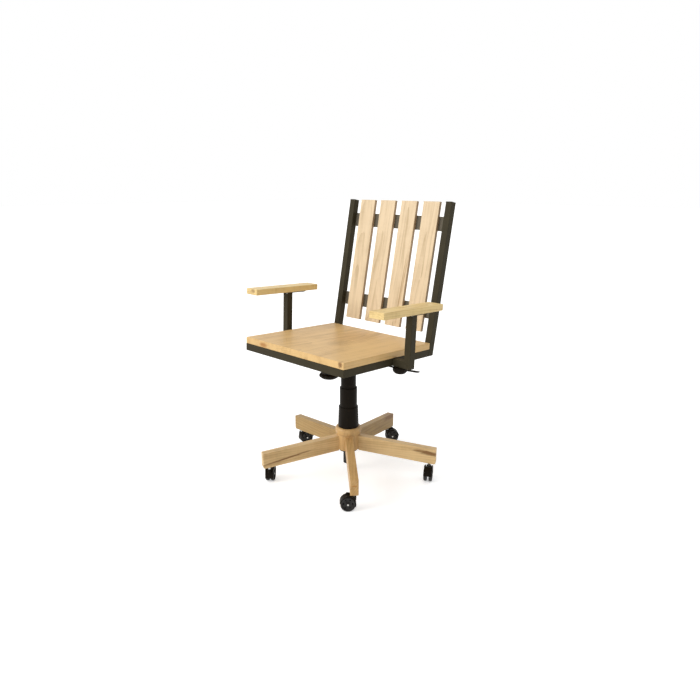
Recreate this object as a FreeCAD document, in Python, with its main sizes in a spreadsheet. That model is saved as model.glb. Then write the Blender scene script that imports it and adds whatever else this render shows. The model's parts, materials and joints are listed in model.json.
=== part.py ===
"""Swivel chair with a slatted maple back, steel frame, gas lift and a five-legged maple base on casters.

Millimetres and degrees. +Z is up, the chair faces -Y and the sitter's left is +X. The origin is on the
floor, in the middle of the chair's bounding box. Every driving size is a cell of the sheet "sizes".
"""
import FreeCAD, Part
import os
import re

import Sketcher

Vector = FreeCAD.Vector
Rotation = FreeCAD.Rotation

# Driving sizes: name, value, meaning
SIZES = (
    ("column_x", 0.4, "column axis from the origin, sideways"),
    ("column_y", -20.8, "column axis from the origin, front to back"),
    # Wooden seat
    ("seat_width", 483, "seat and frame, side to side"),
    ("seat_front", 278, "column axis to the front edge"),
    ("seat_back", 164.2, "column axis to the back edge"),
    ("seat_thickness", 23, "maple seat panel"),
    ("seat_ease", 2.5, "rounding of the seat's edges"),
    ("seat_rake", 2.5, "backward slope of the seat at rest"),
    ("frame_level", 469, "floor to the underside of the seat frame, at the column"),
    # Square steel tube
    ("tube", 25.4, "outside of the square tube"),
    ("tube_wall", 1.6, "its wall"),
    ("tube_ease", 1.2, "rounding of its corners"),
    ("cross_front", 75, "front cross tube, ahead of the column"),
    ("cross_back", 59, "rear cross tube, behind the column"),
    # Back
    ("back_lean", 8.4, "lean of the back from the seat's square"),
    ("post_length", 546, "back post along its front face"),
    ("bar_height", 50.8, "flat crossbar, upright side"),
    ("bar_depth", 6.35, "flat crossbar, front to back"),
    ("bar_ease", 0.8, "rounding of its edges"),
    ("upper_bar", 470, "middle of the upper bar up the post"),
    ("lower_bar", 157, "middle of the lower bar up the post"),
    ("slat_width", 72, "maple slat"),
    ("slat_thickness", 12.7, "slat, front to back"),
    ("slat_bottom", 81, "lower end of the slats up the post"),
    ("slat_ease", 1.5, "rounding of the slat's edges"),
    # Arms
    ("arm_offset", 60.3, "side of the seat to the middle of an arm post"),
    ("arm_ahead", 30.8, "arm post ahead of the column"),
    ("arm_rise", 185.2, "underside of the pad above the underside of the frame"),
    ("arm_play", 0.3, "gap between the arm and the frame's side"),
    ("arm_bar", 21.8, "square bar on the frame that the arm slides on"),
    ("arm_bar_reach", 45, "how far that bar stands out"),
    ("arm_plate_length", 98, "steel plate under the pad"),
    ("arm_plate_width", 45, "its width"),
    ("arm_plate_front", 58, "its front end ahead of the column"),
    ("arm_plate_thickness", 4, "its thickness"),
    ("pad_length", 304.5, "maple arm pad"),
    ("pad_width", 60, "its width"),
    ("pad_thickness", 22, "its thickness"),
    ("pad_front", 206.2, "its front end ahead of the column"),
    ("pad_ease", 2, "rounding of its edges"),
    ("arm_knob_radius", 25, "clamp knob under the arm"),
    ("arm_knob_height", 22, "its height"),
    ("arm_knob_taper", 9, "how much its underside narrows, on the radius"),
    ("knob_gap", 0.6, "between the knob and the arm"),
    ("clamp_screw", 4, "radius of its screw"),
    # Fasteners
    ("wood_screw", 2, "radius of a wood screw"),
    ("screw_head", 4.2, "radius of its head"),
    ("screw_head_height", 2.4, "height of its head"),
    ("screw_bite", 12, "wood screw in the wood"),
    ("slat_bite", 9, "wood screw in a slat"),
    ("plate_bolt", 4, "radius of the bolts through the seat plate"),
    ("hole_play", 0.1, "room around a screw or bolt, on the radius"),
    ("running_play", 0.05, "room around a turning or sliding shaft, on the radius"),
    # Tilt mechanism, measured from the underside of the seat frame at the column
    ("plate_width", 120, "seat plate"),
    ("plate_front", 116, "its front edge ahead of the column"),
    ("plate_back", 76, "its rear edge behind the column"),
    ("plate_thickness", 3, "steel sheet of the seat plate and the housing"),
    ("housing_width", 70, "tilt housing"),
    ("housing_front", 128, "its nose ahead of the column"),
    ("housing_back", 50, "its rear end behind the column"),
    ("housing_top", 4, "top edges below the frame"),
    ("nose_bottom", 18, "underside of the nose below the frame"),
    ("housing_bottom", 46, "underside of the housing below the frame"),
    ("pivot_back", 25, "tilt pivot behind the column"),
    ("pivot_drop", 21, "tilt pivot below the frame"),
    ("pivot_radius", 5, "pivot bolt"),
    ("ear_gap", 0.4, "between the plate's ear and the housing"),
    ("lever_drop", 20.6, "height lever below the frame"),
    ("lever_radius", 3, "its rod"),
    ("lever_sweep", 2, "how far it points rearwards"),
    ("lever_pivot", 28, "its pivot pin from the column"),
    ("lever_pin_radius", 1.6, "pivot pin"),
    ("lug_thickness", 3, "lugs that carry the pin"),
    ("lug_side", 7, "their length and height"),
    ("lug_gap", 1, "between the rod and a lug"),
    ("lever_reach", 313, "its tip from the column"),
    ("paddle_length", 60, "its flat tip"),
    ("paddle_width", 16, "width of the flat tip"),
    ("paddle_thickness", 4.5, "thickness of the flat tip"),
    ("paddle_bend", 4, "upward bend of the flat tip"),
    ("tension_ahead", 98, "tension bolt ahead of the column"),
    ("tension_bolt_radius", 5, "tension bolt"),
    ("tension_knob_radius", 35, "tension knob"),
    ("tension_knob_height", 20, "its height"),
    ("tension_knob_taper", 12, "how much its underside narrows, on the radius"),
    ("spring_length", 48, "tilt spring between the nose and the knob"),
    ("spring_radius", 15, "middle of the spring's wire from its axis"),
    ("spring_wire", 2.4, "radius of the wire"),
    ("spring_turns", 4, "turns of the spring"),
    ("spring_play", 0.3, "between the spring and what it rests on"),
    # Gas lift
    ("socket_top", 27.5, "top of the socket below the frame"),
    ("socket_depth", 32, "length of the tapered socket"),
    ("socket_wall", 5, "wall of the socket"),
    ("piston_tube_radius", 14, "pressure tube"),
    ("piston_tube_wall", 1.5, "its wall"),
    ("piston_tube_taper", 0.6, "how much its top narrows, on the radius"),
    ("piston_tube_top", 29.5, "top of the pressure tube below the frame"),
    ("piston_tube_length", 239, "pressure tube"),
    ("piston_tube_head", 14, "solid top end of the tube"),
    ("piston_tube_seal", 12, "solid lower end of the tube"),
    ("release_pin_radius", 3.5, "release pin"),
    ("release_pin_length", 19.5, "release pin"),
    ("rod_radius", 5, "piston rod"),
    ("piston_level", 223.5, "floor to the underside of the piston"),
    ("piston_height", 12, "piston"),
    ("column_radius", 25, "outer column tube"),
    ("column_wall", 2.2, "its wall"),
    ("column_top", 253.5, "floor to the top of the column tube"),
    ("column_foot", 29, "floor to the lower end of the column tube"),
    ("column_foot_radius", 19, "its lower end"),
    ("column_taper", 2.5, "how much it narrows in the hub, on the radius"),
    ("bush_length", 73, "guide bush in the column tube"),
    ("bearing_radius", 14, "thrust bearing"),
    ("washer_thickness", 2, "its washers"),
    ("ball_radius", 1.4, "its balls"),
    # Telescopic covers
    ("cover_wall", 2, "wall of the covers"),
    ("cover_gap", 0.8, "room between two covers, on the radius"),
    ("cover_lip", 1.2, "outward lip of the two upper covers"),
    ("lower_cover_radius", 38.6, "lower cover at its foot"),
    ("lower_cover_draft", 2.6, "how much it narrows to its top, on the radius"),
    ("lower_cover_top", 256.5, "floor to the top of the lower cover"),
    ("middle_cover_radius", 32.2, "middle cover"),
    ("middle_cover_foot", 245.5, "floor to the foot of the middle cover"),
    ("middle_cover_top", 330.5, "floor to its top"),
    ("upper_cover_radius", 28, "upper cover"),
    ("upper_cover_foot", 320.5, "floor to the foot of the upper cover"),
    # Wooden base
    ("hub_radius", 45, "turned hub"),
    ("hub_bottom", 91.5, "floor to the underside of the hub"),
    ("hub_top", 177.5, "floor to the top of the hub"),
    ("collar_radius", 49, "collar at the top of the hub"),
    ("collar_height", 27, "height of the collar"),
    ("collar_round", 3, "bevel of the collar's edges"),
    ("groove_depth", 1.4, "groove under the collar"),
    ("sleeve_radius", 27, "steel sleeve in the hub"),
    ("flange_radius", 36, "flange of the sleeve"),
    ("flange_thickness", 8, "flange of the sleeve"),
    ("glue_gap", 0.05, "between glued or pressed faces"),
    ("leg_turn", -43, "first leg, turned from +X"),
    ("leg_reach", 333.5, "column axis to the end of a leg"),
    ("leg_width", 28, "thickness of the leg's board"),
    ("leg_root_top", 144.8, "floor to the leg's top edge at the hub"),
    ("leg_root_height", 57, "height of the board at the hub"),
    ("leg_end_top", 120, "floor to the leg's top edge at its end"),
    ("leg_end_height", 57.5, "height of the board at its end"),
    ("leg_chamfer", 5, "cut corner under the leg's end"),
    ("leg_ease", 1.2, "rounding of the leg's edges"),
    ("rod_level", 117.5, "floor to the threaded rods in the legs"),
    ("leg_rod_radius", 4, "threaded rod"),
    ("leg_rod_end", 80, "column axis to the outer end of the rod"),
    ("barrel_radius", 6, "barrel nut"),
    ("barrel_at", 72, "column axis to the barrel nut"),
    ("barrel_height", 22, "barrel nut"),
    # Casters
    ("caster_inset", 25, "stem to the end of the leg"),
    ("caster_trail", 20, "stem to the axle, sideways"),
    ("caster_turn_one", 268, "which way the first caster trails, from its leg"),
    ("caster_turn_two", 271, "second caster"),
    ("caster_turn_three", 309, "third caster"),
    ("caster_turn_four", 257, "fourth caster"),
    ("caster_turn_five", 245, "fifth caster"),
    ("wheel_radius", 25.5, "wheel"),
    ("wheel_width", 11.5, "width of one wheel"),
    ("wheel_disc", 4, "thickness of the wheel's disc"),
    ("wheel_rim", 4.5, "thickness of its rim"),
    ("wheel_window", 3.2, "radius of the round windows in the disc"),
    ("wheel_window_circle", 15.5, "where they are"),
    ("web_thickness", 6.4, "web between the wheels"),
    ("wheel_play", 0.8, "between the web and a wheel"),
    ("hood_gap", 0.8, "between the wheel and the hood"),
    ("hood_wall", 1.6, "wall of the hood"),
    ("ear_width", 5.2, "raised sides of the hood"),
    ("boss_radius", 8.5, "boss around the stem"),
    ("boss_top", 52.5, "floor to the top of the boss"),
    ("axle_radius", 3, "axle"),
    ("stem_radius", 5, "stem"),
    ("stem_grip", 6, "stem in the boss"),
    ("stem_top", 99.5, "floor to the top of the stem"),
    ("socket_foot", 63.5, "floor to the underside of the stem's socket"),
    ("stem_socket_radius", 7, "outside of the stem's socket"),
    ("stem_socket_length", 38, "its length"),
    ("shoulder_radius", 7.4, "shoulder of the stem under the socket"),
    ("shoulder_height", 2.6, "its height"),
)

LEG_COUNT = 5
CASTER_TURNS = ("caster_turn_one", "caster_turn_two", "caster_turn_three", "caster_turn_four", "caster_turn_five")
SLAT_COUNT = 4
WINDOW_COUNT = 6
KNOB_LOBES = 10
BALL_COUNT = 12

doc = FreeCAD.newDocument("swivel_chair")
sheet = doc.addObject("Spreadsheet::Sheet", "sizes")
for row, (alias, number, meaning) in enumerate(SIZES, start=1):
    sheet.set(f"A{row}", meaning)
    sheet.set(f"B{row}", str(number))
    sheet.setAlias(f"B{row}", alias)
doc.recompute()

ALIASES = {alias for alias, number, meaning in SIZES}
pieces = {}


# Helpers that tie objects to the sheet

def in_cells(expression):
    """Put the sheet's name before each of its aliases in an expression."""
    return re.sub(r"[a-z_]+", lambda m: "sizes." + m[0] if m[0] in ALIASES else m[0], expression)


def value(expression):
    """The number that an expression of the sheet's aliases gives now."""
    return float(sheet.evalExpression(in_cells(expression)))


def bind(item, name, expression):
    """Tie a property to an expression of the sheet's aliases."""
    item.setExpression(name, in_cells(expression))


def move_to(item, x="0", y="0", z="0", turn=None):
    """Bind the three places of an object, after giving it a fixed turn."""
    if turn is not None:
        item.Placement = FreeCAD.Placement(Vector(), turn)
    for axis, expression in zip("xyz", (x, y, z)):
        bind(item, f"Placement.Base.{axis}", expression)


def frame(name, expression):
    """A named coordinate frame that pieces are placed on."""
    datum = doc.addObject("App::Placement", name)
    bind(datum, "Placement", expression)
    return datum


def keep(item, label, place):
    """Name a finished piece and put it on its frame."""
    item.Label = label
    item.setExpression("Placement", in_cells(place))
    pieces[label] = item
    return item


# Helpers for solids made of primitives

TURNS = {"x": Rotation(Vector(0, 1, 0), 90), "y": Rotation(Vector(1, 0, 0), -90), "z": Rotation()}


def box(name, x, y, z, length, width, height):
    """A box from its lowest corner."""
    item = doc.addObject("Part::Box", name)
    for side, expression in (("Length", length), ("Width", width), ("Height", height)):
        bind(item, side, expression)
    move_to(item, x, y, z)
    return item


def cylinder(name, axis, x, y, z, radius, height):
    """A cylinder from the middle of its first end, along +axis."""
    item = doc.addObject("Part::Cylinder", name)
    bind(item, "Radius", radius)
    bind(item, "Height", height)
    move_to(item, x, y, z, TURNS[axis])
    return item


def hexagon(name, z, radius, height, x="0", y="0"):
    """An upright hexagonal prism, such as a bolt's head."""
    item = doc.addObject("Part::Prism", name)
    item.Polygon = 6
    bind(item, "Circumradius", radius)
    bind(item, "Height", height)
    move_to(item, x, y, z)
    return item


def group(name, items):
    """Separate solids kept together as one piece or one cutter."""
    item = doc.addObject("Part::Compound", name)
    item.Links = list(items)
    return item


def fuse(name, items):
    """Touching solids joined to one."""
    item = doc.addObject("Part::MultiFuse", name)
    item.Shapes = list(items)
    return item


def cut(name, base, tools):
    """A solid less one cutter or a list of cutters that stand apart."""
    item = doc.addObject("Part::Cut", name)
    item.Base = base
    item.Tool = group(name + "_cutters", tools) if isinstance(tools, (list, tuple)) else tools
    return item


def mirror(name, item, normal=Vector(1, 0, 0)):
    """The same solid on the other side of the middle plane."""
    copy = doc.addObject("Part::Mirroring", name)
    copy.Source = item
    copy.Normal = normal
    return copy


# Helpers for bodies drawn as sketches

def sketch_on(body, role, offset="0"):
    """A sketch on one of the body's own planes, moved along the plane's normal."""
    plane = next(item for item in body.Origin.OriginFeatures if item.Role == role)
    sketch = body.newObject("Sketcher::SketchObject", body.Name + "_sketch")
    sketch.AttachmentSupport = [(plane, "")]
    sketch.MapMode = "FlatFace"
    bind(sketch, "AttachmentOffset.Base.z", offset)
    return sketch


def pin(sketch, geometry, point, corner):
    """Hold a point at two expressions measured from the sketch's origin."""
    for kind, expression in zip(("DistanceX", "DistanceY"), corner):
        rule = Sketcher.Constraint(kind, -1, 1, geometry, point, value(expression))
        bind(sketch, f"Constraints[{sketch.addConstraint(rule)}]", expression)


def polygon(sketch, corners):
    """Straight lines round the corners, each a pair of expressions."""
    points = [Vector(value(u), value(v), 0) for u, v in corners]
    first = sketch.GeometryCount
    for i, point in enumerate(points):
        sketch.addGeometry(Part.LineSegment(point, points[(i + 1) % len(points)]))
    for i, corner in enumerate(corners):
        follower = first + (i + 1) % len(corners)
        sketch.addConstraint(Sketcher.Constraint("Coincident", first + i, 2, follower, 1))
        pin(sketch, first + i, 1, corner)


def rectangle(sketch, left, right, low, high):
    """A rectangle between four expressions."""
    polygon(sketch, ((left, low), (right, low), (right, high), (left, high)))


def circle(sketch, x, y, radius):
    """A circle about a point."""
    number = sketch.addGeometry(Part.Circle(Vector(value(x), value(y), 0), Vector(0, 0, 1), value(radius)))
    rule = Sketcher.Constraint("Radius", number, value(radius))
    bind(sketch, f"Constraints[{sketch.addConstraint(rule)}]", radius)
    pin(sketch, number, 3, (x, y))


def pad(body, sketch, length, symmetric=False):
    """Thicken a sketch along its normal, or to both sides of it."""
    feature = body.newObject("PartDesign::Pad", body.Name + "_pad")
    feature.Profile = sketch
    feature.SideType = "Symmetric" if symmetric else "One side"
    bind(feature, "Length", length)
    sketch.Visibility = False
    return feature


def pocket(body, sketch, length=None, along_normal=False):
    """Cut a sketch through everything on both sides, or to a depth on one side of it."""
    feature = body.newObject("PartDesign::Pocket", body.Name + "_pocket")
    feature.Profile = sketch
    feature.Type = "ThroughAll" if length is None else "Length"
    feature.SideType = "Symmetric" if length is None else "One side"
    feature.Reversed = along_normal
    if length is not None:
        bind(feature, "Length", length)
    return feature


def revolve(name, corners, role="XZ_Plane", axis="V_Axis"):
    """A turned body: the corners are radius and height, or length and radius about the H axis."""
    body = doc.addObject("PartDesign::Body", name)
    sketch = sketch_on(body, role)
    polygon(sketch, corners)
    feature = body.newObject("PartDesign::Revolution", name + "_turned")
    feature.Profile = sketch
    feature.ReferenceAxis = (sketch, [axis])
    feature.Angle = 360
    return body


def ease(body, radius):
    """Round all the edges of a body."""
    sharp = body.Tip
    feature = body.newObject("PartDesign::Fillet", body.Name + "_eased")
    feature.Base = (sharp, [""])
    feature.UseAllEdges = True
    bind(feature, "Radius", radius)
    return feature


def board(name, x, y, z, length, width, height, rounding=None):
    """A board or bar from its lowest corner, drawn in plan and padded upwards, with eased edges."""
    body = doc.addObject("PartDesign::Body", name)
    sketch = sketch_on(body, "XY_Plane", z)
    rectangle(sketch, x, f"{x} + {length}", y, f"{y} + {width}")
    pad(body, sketch, height)
    if rounding:
        ease(body, rounding)
    return body


def profile_body(name, role, corners, length, rounding=None):
    """A body drawn in side view and padded evenly to both sides of the middle plane."""
    body = doc.addObject("PartDesign::Body", name)
    sketch = sketch_on(body, role)
    polygon(sketch, corners)
    pad(body, sketch, length, symmetric=True)
    if rounding:
        ease(body, rounding)
    return body


def screw(name, axis, x, y, z, radius, length, head_radius, head_height, way=1):
    """A screw whose head's underside is at the point; the shank runs along the axis, way is its sense."""
    places = {"x": x, "y": y, "z": z}
    back = dict(places)
    if way > 0:
        back[axis] = f"{places[axis]} - ({head_height})"
    else:
        places[axis] = f"{places[axis]} - ({length})"
    shank = cylinder(name + "_shank", axis, places["x"], places["y"], places["z"], radius, length)
    head = cylinder(name + "_head", axis, back["x"], back["y"], back["z"], head_radius, head_height)
    return fuse(name, (shank, head))


# Frames: the column on the floor, the raked seat, and the leaning back on the seat's frame
frame("column_frame", "placement(vector(column_x; column_y; 0); rotationx(0))")
frame("seat_frame_place", "column_frame.Placement * placement(vector(0; 0; frame_level); rotationx(-seat_rake))")
BACK_FOOT = "seat_back - tube*tan(back_lean)"
frame("back_place", f"seat_frame_place.Placement * placement(vector(0; {BACK_FOOT}; 0); rotationx(-back_lean))")
COLUMN = "column_frame.Placement"
SEAT = "seat_frame_place.Placement"
BACK = "back_place.Placement"


def leg_place(i):
    """The frame of one leg: its +X runs out along the leg."""
    return f"{COLUMN} * placement(vector(0; 0; 0); rotationz(leg_turn + {i}*360/{LEG_COUNT}))"


def caster_place(i):
    """The frame of one caster: the stem's axis on the floor, +X the way it trails."""
    return leg_place(i) + f" * placement(vector(leg_reach - caster_inset; 0; 0); rotationz({CASTER_TURNS[i]}))"


# Wooden base

def make_hub():
    """Turned hub: a collar over a groove and a straight body, bored for the steel sleeve."""
    neck = "hub_top - collar_height"
    groove = f"{neck} - 2*groove_depth"
    blank = revolve("hub_blank", (
        ("sleeve_radius + glue_gap", "hub_bottom"),
        ("hub_radius - collar_round/2", "hub_bottom"),
        ("hub_radius", "hub_bottom + collar_round/2"),
        ("hub_radius", groove),
        ("hub_radius - groove_depth", f"{neck} - groove_depth"),
        ("hub_radius", neck),
        ("collar_radius - collar_round", neck),
        ("collar_radius", f"{neck} + collar_round"),
        ("collar_radius", "hub_top - collar_round"),
        ("collar_radius - collar_round", "hub_top"),
        ("sleeve_radius + glue_gap", "hub_top"),
    ))
    holes = []
    for i in range(LEG_COUNT):
        hole = cylinder(f"hub_hole_{i + 1}", "x", "0", "0", "rod_level", "leg_rod_radius + hole_play", "collar_radius")
        hole.setExpression("Placement", in_cells(
            f"placement(vector(0; 0; rod_level); rotationz(leg_turn + {i}*360/{LEG_COUNT})) * "
            "placement(vector(0; 0; 0); rotationy(90))"))
        holes.append(hole)
    keep(cut("hub", blank, fuse("hub_holes", holes)), "base_hub", COLUMN)


def make_leg(i):
    """Leg: a sloping board coped round the hub, with holes for its rod, barrel nut and caster socket."""
    name = f"leg_{i + 1}"
    bottom = "leg_end_top - leg_end_height"
    root = "sleeve_radius"
    slope = "(leg_root_top - leg_end_top)/(leg_reach - hub_radius)"
    blank = profile_body(name + "_board", "XZ_Plane", (
        (root, f"leg_root_top + (hub_radius - {root})*{slope}"),
        (root, f"leg_root_top - leg_root_height + (hub_radius - {root})*{slope}"),
        ("leg_reach - leg_chamfer", bottom),
        ("leg_reach", f"{bottom} + leg_chamfer"),
        ("leg_reach", "leg_end_top"),
    ), "leg_width", "leg_ease")
    rod = cylinder(name + "_rod_hole", "x", "0", "0", "rod_level", "leg_rod_radius + hole_play", "leg_rod_end + hole_play")
    nut = cylinder(name + "_nut_hole", "z", "barrel_at", "0", bottom, "barrel_radius + hole_play",
                   f"rod_level + barrel_height/2 - ({bottom})")
    cope = cylinder(name + "_cope", "z", "0", "0", "0", "hub_radius + glue_gap", "hub_top*2")
    stem = cylinder(name + "_stem_hole", "z", "leg_reach - caster_inset", "0", "0",
                    "stem_socket_radius + glue_gap", "socket_foot + stem_socket_length + hole_play")
    cutters = fuse(name + "_cutters", (rod, nut, cope, stem))
    keep(cut(name, blank, cutters), f"base_{name}", leg_place(i))


def make_leg_hardware():
    """Threaded rods with their barrel nuts, and the sockets that the caster stems turn in."""
    fittings = []
    sockets = []
    for i in range(LEG_COUNT):
        rod = cylinder(f"leg_rod_{i + 1}", "x", "sleeve_radius + glue_gap", "0", "rod_level", "leg_rod_radius",
                       "leg_rod_end - sleeve_radius - glue_gap")
        nut = cylinder(f"barrel_nut_{i + 1}", "z", "barrel_at", "0", "rod_level - barrel_height/2", "barrel_radius",
                       "barrel_height - hole_play")
        pair = fuse(f"leg_bolt_{i + 1}", (rod, nut))
        socket = revolve(f"stem_socket_{i + 1}", (
            ("stem_radius + running_play", "socket_foot"),
            ("stem_socket_radius", "socket_foot"),
            ("stem_socket_radius", "socket_foot + stem_socket_length"),
            ("stem_radius + running_play", "socket_foot + stem_socket_length"),
        ))
        turn = f"placement(vector(0; 0; 0); rotationz(leg_turn + {i}*360/{LEG_COUNT}))"
        bind(pair, "Placement", turn)
        bind(socket, "Placement", turn + " * placement(vector(leg_reach - caster_inset; 0; 0); rotationx(0))")
        fittings.append(pair)
        sockets.append(socket)
    keep(group("leg_bolts", fittings), "leg_bolts", COLUMN)
    keep(group("caster_sockets", sockets), "caster_sockets", COLUMN)


def make_hub_sleeve():
    """Flanged steel sleeve in the hub, tapered inside to hold the column."""
    body = revolve("sleeve", (
        ("column_foot_radius + hole_play", "hub_bottom - flange_thickness"),
        ("flange_radius", "hub_bottom - flange_thickness"),
        ("flange_radius", "hub_bottom"),
        ("sleeve_radius", "hub_bottom"),
        ("sleeve_radius", "hub_top"),
        ("column_radius + glue_gap", "hub_top"),
        ("column_radius - column_taper + glue_gap", "hub_bottom - hole_play"),
        ("column_foot_radius + hole_play", "hub_bottom - hole_play"),
    ))
    keep(body, "hub_sleeve", COLUMN)


# Gas lift and its covers

def make_column_tube():
    """Outer tube of the gas lift: straight above the hub, tapered inside it, narrow below."""
    lower = "column_radius - column_taper"
    body = revolve("column", (
        ("rod_radius + 3*hole_play", "column_foot"),
        ("column_foot_radius", "column_foot"),
        ("column_foot_radius", "hub_bottom"),
        (lower, "hub_bottom"),
        ("column_radius", "hub_top"),
        ("column_radius", "column_top"),
        ("column_radius - column_wall", "column_top"),
        ("column_radius - column_wall", "hub_top"),
        ("column_foot_radius - column_wall", "hub_bottom + column_wall"),
        ("column_foot_radius - column_wall", "column_foot + column_wall"),
        ("rod_radius + 3*hole_play", "column_foot + column_wall"),
    ))
    keep(body, "column_tube", COLUMN)
    inner = "piston_tube_radius + running_play"
    bush = revolve("bush", (
        (inner, "column_top - bush_length"),
        ("column_radius - column_wall - glue_gap", "column_top - bush_length"),
        ("column_radius - column_wall - glue_gap", "column_top"),
        ("column_radius", "column_top"),
        ("column_radius", "column_top + washer_thickness"),
        (inner, "column_top + washer_thickness"),
    ))
    keep(bush, "column_bush", COLUMN)


BEARING_FOOT = "column_foot + column_wall + glue_gap"
BEARING_TOP = f"{BEARING_FOOT} + 2*washer_thickness + 2*ball_radius + 2*glue_gap"


def make_thrust_bearing():
    """Two washers with a ring of balls between them, on the floor of the column tube."""
    washers = []
    for i, foot in enumerate((BEARING_FOOT, f"{BEARING_TOP} - washer_thickness")):
        washers.append(revolve(f"bearing_washer_{i + 1}", (
            ("rod_radius + 3*hole_play", foot),
            ("bearing_radius", foot),
            ("bearing_radius", f"{foot} + washer_thickness"),
            ("rod_radius + 3*hole_play", f"{foot} + washer_thickness"),
        )))
    balls = []
    for i in range(BALL_COUNT):
        ball = doc.addObject("Part::Sphere", f"ball_{i + 1}")
        bind(ball, "Radius", "ball_radius")
        bind(ball, "Placement", f"placement(vector(0; 0; 0); rotationz({i}*360/{BALL_COUNT})) * placement(vector("
             f"(rod_radius + bearing_radius)/2; 0; {BEARING_FOOT} + washer_thickness + glue_gap + ball_radius); "
             "rotationx(0))")
        balls.append(ball)
    keep(group("thrust_bearing_parts", washers + balls), "thrust_bearing", COLUMN)


def make_piston_rod():
    """Rod with its collar on the thrust bearing, the clip under the column tube and the piston."""
    collar = f"{BEARING_TOP} + glue_gap"
    rod = revolve("rod", (
        ("0", "column_foot - 2*washer_thickness"),
        ("rod_radius", "column_foot - 2*washer_thickness"),
        ("rod_radius", collar),
        ("rod_radius*1.8", collar),
        ("rod_radius*1.8", f"{collar} + 2*washer_thickness"),
        ("rod_radius", f"{collar} + 2*washer_thickness"),
        ("rod_radius", "piston_level + piston_height + washer_thickness"),
        ("0", "piston_level + piston_height + washer_thickness"),
    ))
    rings = []
    for name, foot, outside, height in (
            ("clip", "column_foot - 1.3*washer_thickness", "rod_radius*1.7", "washer_thickness"),
            ("piston", "piston_level", "piston_tube_radius - piston_tube_wall - running_play", "piston_height")):
        rings.append(revolve(name, (
            ("rod_radius + glue_gap", foot),
            (outside, foot),
            (outside, f"{foot} + {height}"),
            ("rod_radius + glue_gap", f"{foot} + {height}"),
        )))
    keep(group("piston_rod_parts", [rod] + rings), "piston_rod", COLUMN)


TUBE_TOP = "frame_level - piston_tube_top"
SOCKET_FOOT = "frame_level - socket_top - socket_depth"


def make_pressure_tube():
    """Sliding tube of the gas lift: sealed round the rod below, tapered and bored for the pin above."""
    foot = f"{TUBE_TOP} - piston_tube_length"
    inside = "piston_tube_radius - piston_tube_wall"
    body = revolve("pressure", (
        ("rod_radius + running_play", foot),
        ("piston_tube_radius", foot),
        ("piston_tube_radius", SOCKET_FOOT),
        ("piston_tube_radius - piston_tube_taper", TUBE_TOP),
        ("release_pin_radius + running_play", TUBE_TOP),
        ("release_pin_radius + running_play", f"{TUBE_TOP} - piston_tube_head"),
        (inside, f"{TUBE_TOP} - piston_tube_head"),
        (inside, f"{foot} + piston_tube_seal"),
        ("rod_radius + running_play", f"{foot} + piston_tube_seal"),
    ))
    keep(body, "pressure_tube", COLUMN)
    foot = f"{TUBE_TOP} - piston_tube_head"
    top = f"{foot} + release_pin_length"
    pin_body = revolve("pin", (("0", foot), ("release_pin_radius", foot), ("release_pin_radius", f"{top} - 0.6"),
                               ("release_pin_radius - 0.6", top), ("0", top)))
    keep(pin_body, "release_pin", COLUMN)


def make_covers():
    """Three telescopic covers: each one's foot has a lip that stays inside the cover below it."""
    inside = "lower_cover_radius - lower_cover_draft"
    lower = revolve("lower_cover", (
        ("lower_cover_radius - cover_wall", "hub_top"),
        ("lower_cover_radius", "hub_top"),
        (inside, "lower_cover_top"),
        ("middle_cover_radius + cover_gap", "lower_cover_top"),
        ("middle_cover_radius + cover_gap", "lower_cover_top - cover_wall"),
        (f"{inside} - cover_wall", "lower_cover_top - cover_wall"),
    ))
    keep(lower, "cover_lower", COLUMN)
    for name, radius, foot, top, hole in (
            ("middle", "middle_cover_radius", "middle_cover_foot", "middle_cover_top", "upper_cover_radius + cover_gap"),
            ("upper", "upper_cover_radius", "upper_cover_foot", SOCKET_FOOT + " - cover_gap",
             "piston_tube_radius + hole_play")):
        cover = revolve(f"{name}_cover", (
            (f"{radius} - cover_wall", foot),
            (f"{radius} + cover_lip", foot),
            (f"{radius} + cover_lip", f"{foot} + cover_wall"),
            (radius, f"{foot} + cover_wall"),
            (radius, top),
            (hole, top),
            (hole, f"{top} - cover_wall"),
            (f"{radius} - cover_wall", f"{top} - cover_wall"),
        ))
        keep(cover, f"cover_{name}", COLUMN)


# Tilt mechanism, on the seat's frame

LEVER_Y = "lever_drop*tan(seat_rake)"
LEVER_PLACE = f"placement(vector(0; {LEVER_Y}; 0 - lever_drop); rotationz(lever_sweep))"


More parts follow.
